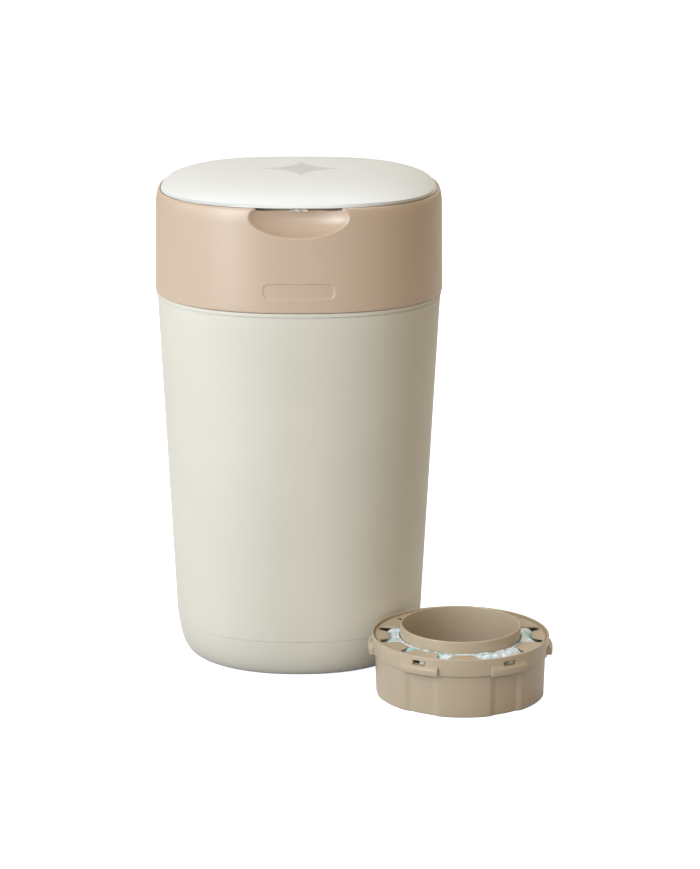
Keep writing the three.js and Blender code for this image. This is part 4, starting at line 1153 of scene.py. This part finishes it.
def make_floor():
    nodes = Nodes("studio_floor")
    tree = nodes.tree
    tree.nodes.remove(nodes.shader)
    output = tree.nodes["Material Output"]
    path = nodes.add("ShaderNodeLightPath")
    seen = nodes.math("MAXIMUM", path.outputs["Is Camera Ray"], path.outputs["Is Transmission Ray"])
    pale = nodes.math("MAXIMUM", seen, path.outputs["Is Glossy Ray"])
    paint = nodes.add("ShaderNodeBsdfDiffuse")
    nodes.link(nodes.mix(pale, linear(118, 111, 99), linear(250, 250, 250)), paint.inputs["Color"])
    lift = nodes.add("ShaderNodeEmission")
    lift.inputs["Color"].default_value = (0.76, 0.86, 1, 1)
    share = nodes.math("ADD", nodes.math("MULTIPLY", seen, 0.83), nodes.math("MULTIPLY", pale, 0.12))
    nodes.link(share, lift.inputs["Strength"])
    both = nodes.add("ShaderNodeAddShader")
    nodes.link(paint.outputs[0], both.inputs[0])
    nodes.link(lift.outputs[0], both.inputs[1])
    nodes.link(both.outputs[0], output.inputs["Surface"])
    reach = 30 / MM
    corners = [(-reach, -reach, 0), (reach, -reach, 0), (reach, reach, 0), (-reach, reach, 0)]
    floor = new_object("floor", corners, [(0, 1, 2, 3)])
    floor.data.materials.append(nodes.material)


def make_world():
    world = bpy.data.worlds.new("studio")
    bpy.context.scene.world = world
    world.use_nodes = True
    tree = world.node_tree
    background = tree.nodes["Background"]
    background.inputs["Color"].default_value = (1, 0.84, 0.6, 1)
    background.inputs["Strength"].default_value = 0.54
    white = tree.nodes.new("ShaderNodeBackground")
    white.inputs["Color"].default_value = (1, 1, 1, 1)
    white.inputs["Strength"].default_value = 1
    path = tree.nodes.new("ShaderNodeLightPath")
    either = tree.nodes.new("ShaderNodeMixShader")
    tree.links.new(path.outputs["Is Camera Ray"], either.inputs["Fac"])
    tree.links.new(background.outputs[0], either.inputs[1])
    tree.links.new(white.outputs[0], either.inputs[2])
    tree.links.new(either.outputs[0], tree.nodes["World Output"].inputs["Surface"])


def make_lamp(name, place, target, size, power, colour):
    lamp = bpy.data.lights.new(name, "AREA")
    lamp.shape = "RECTANGLE"
    lamp.size, lamp.size_y = size
    lamp.energy = power
    lamp.color = colour
    made = bpy.data.objects.new(name, lamp)
    made.location = place
    made.rotation_euler = (Vector(target) - Vector(place)).to_track_quat("-Z", "Y").to_euler()
    bpy.context.scene.collection.objects.link(made)


def make_camera():
    camera = bpy.data.cameras.new("camera")
    camera.sensor_width = 36
    camera.lens = FOCAL_PIXELS * camera.sensor_width / LONG_SIDE
    camera.shift_x = AXIS_OFFSET / LONG_SIDE
    camera.clip_end = 100
    made = bpy.data.objects.new("camera", camera)
    made.location = CAMERA_PLACE
    made.rotation_euler = (math.radians(90 - CAMERA_PITCH), 0, 0)
    bpy.context.scene.collection.objects.link(made)
    bpy.context.scene.camera = made


make_tub()
make_collar()
make_lid()
make_liner()
make_pin("lid_pin", "lid_hinge_pin", LID_PIN_RADIUS, "head")
make_pin("head_pin", "head_hinge_pin", HEAD_PIN_RADIUS, "tub")
make_cassette_tub()
make_cassette_core()
make_cassette_cover()
make_film()
paint_nodes()
make_floor()
make_world()
for settings in LAMPS:
    make_lamp(*settings)
make_camera()
bpy.context.scene.view_settings.view_transform = "Standard"
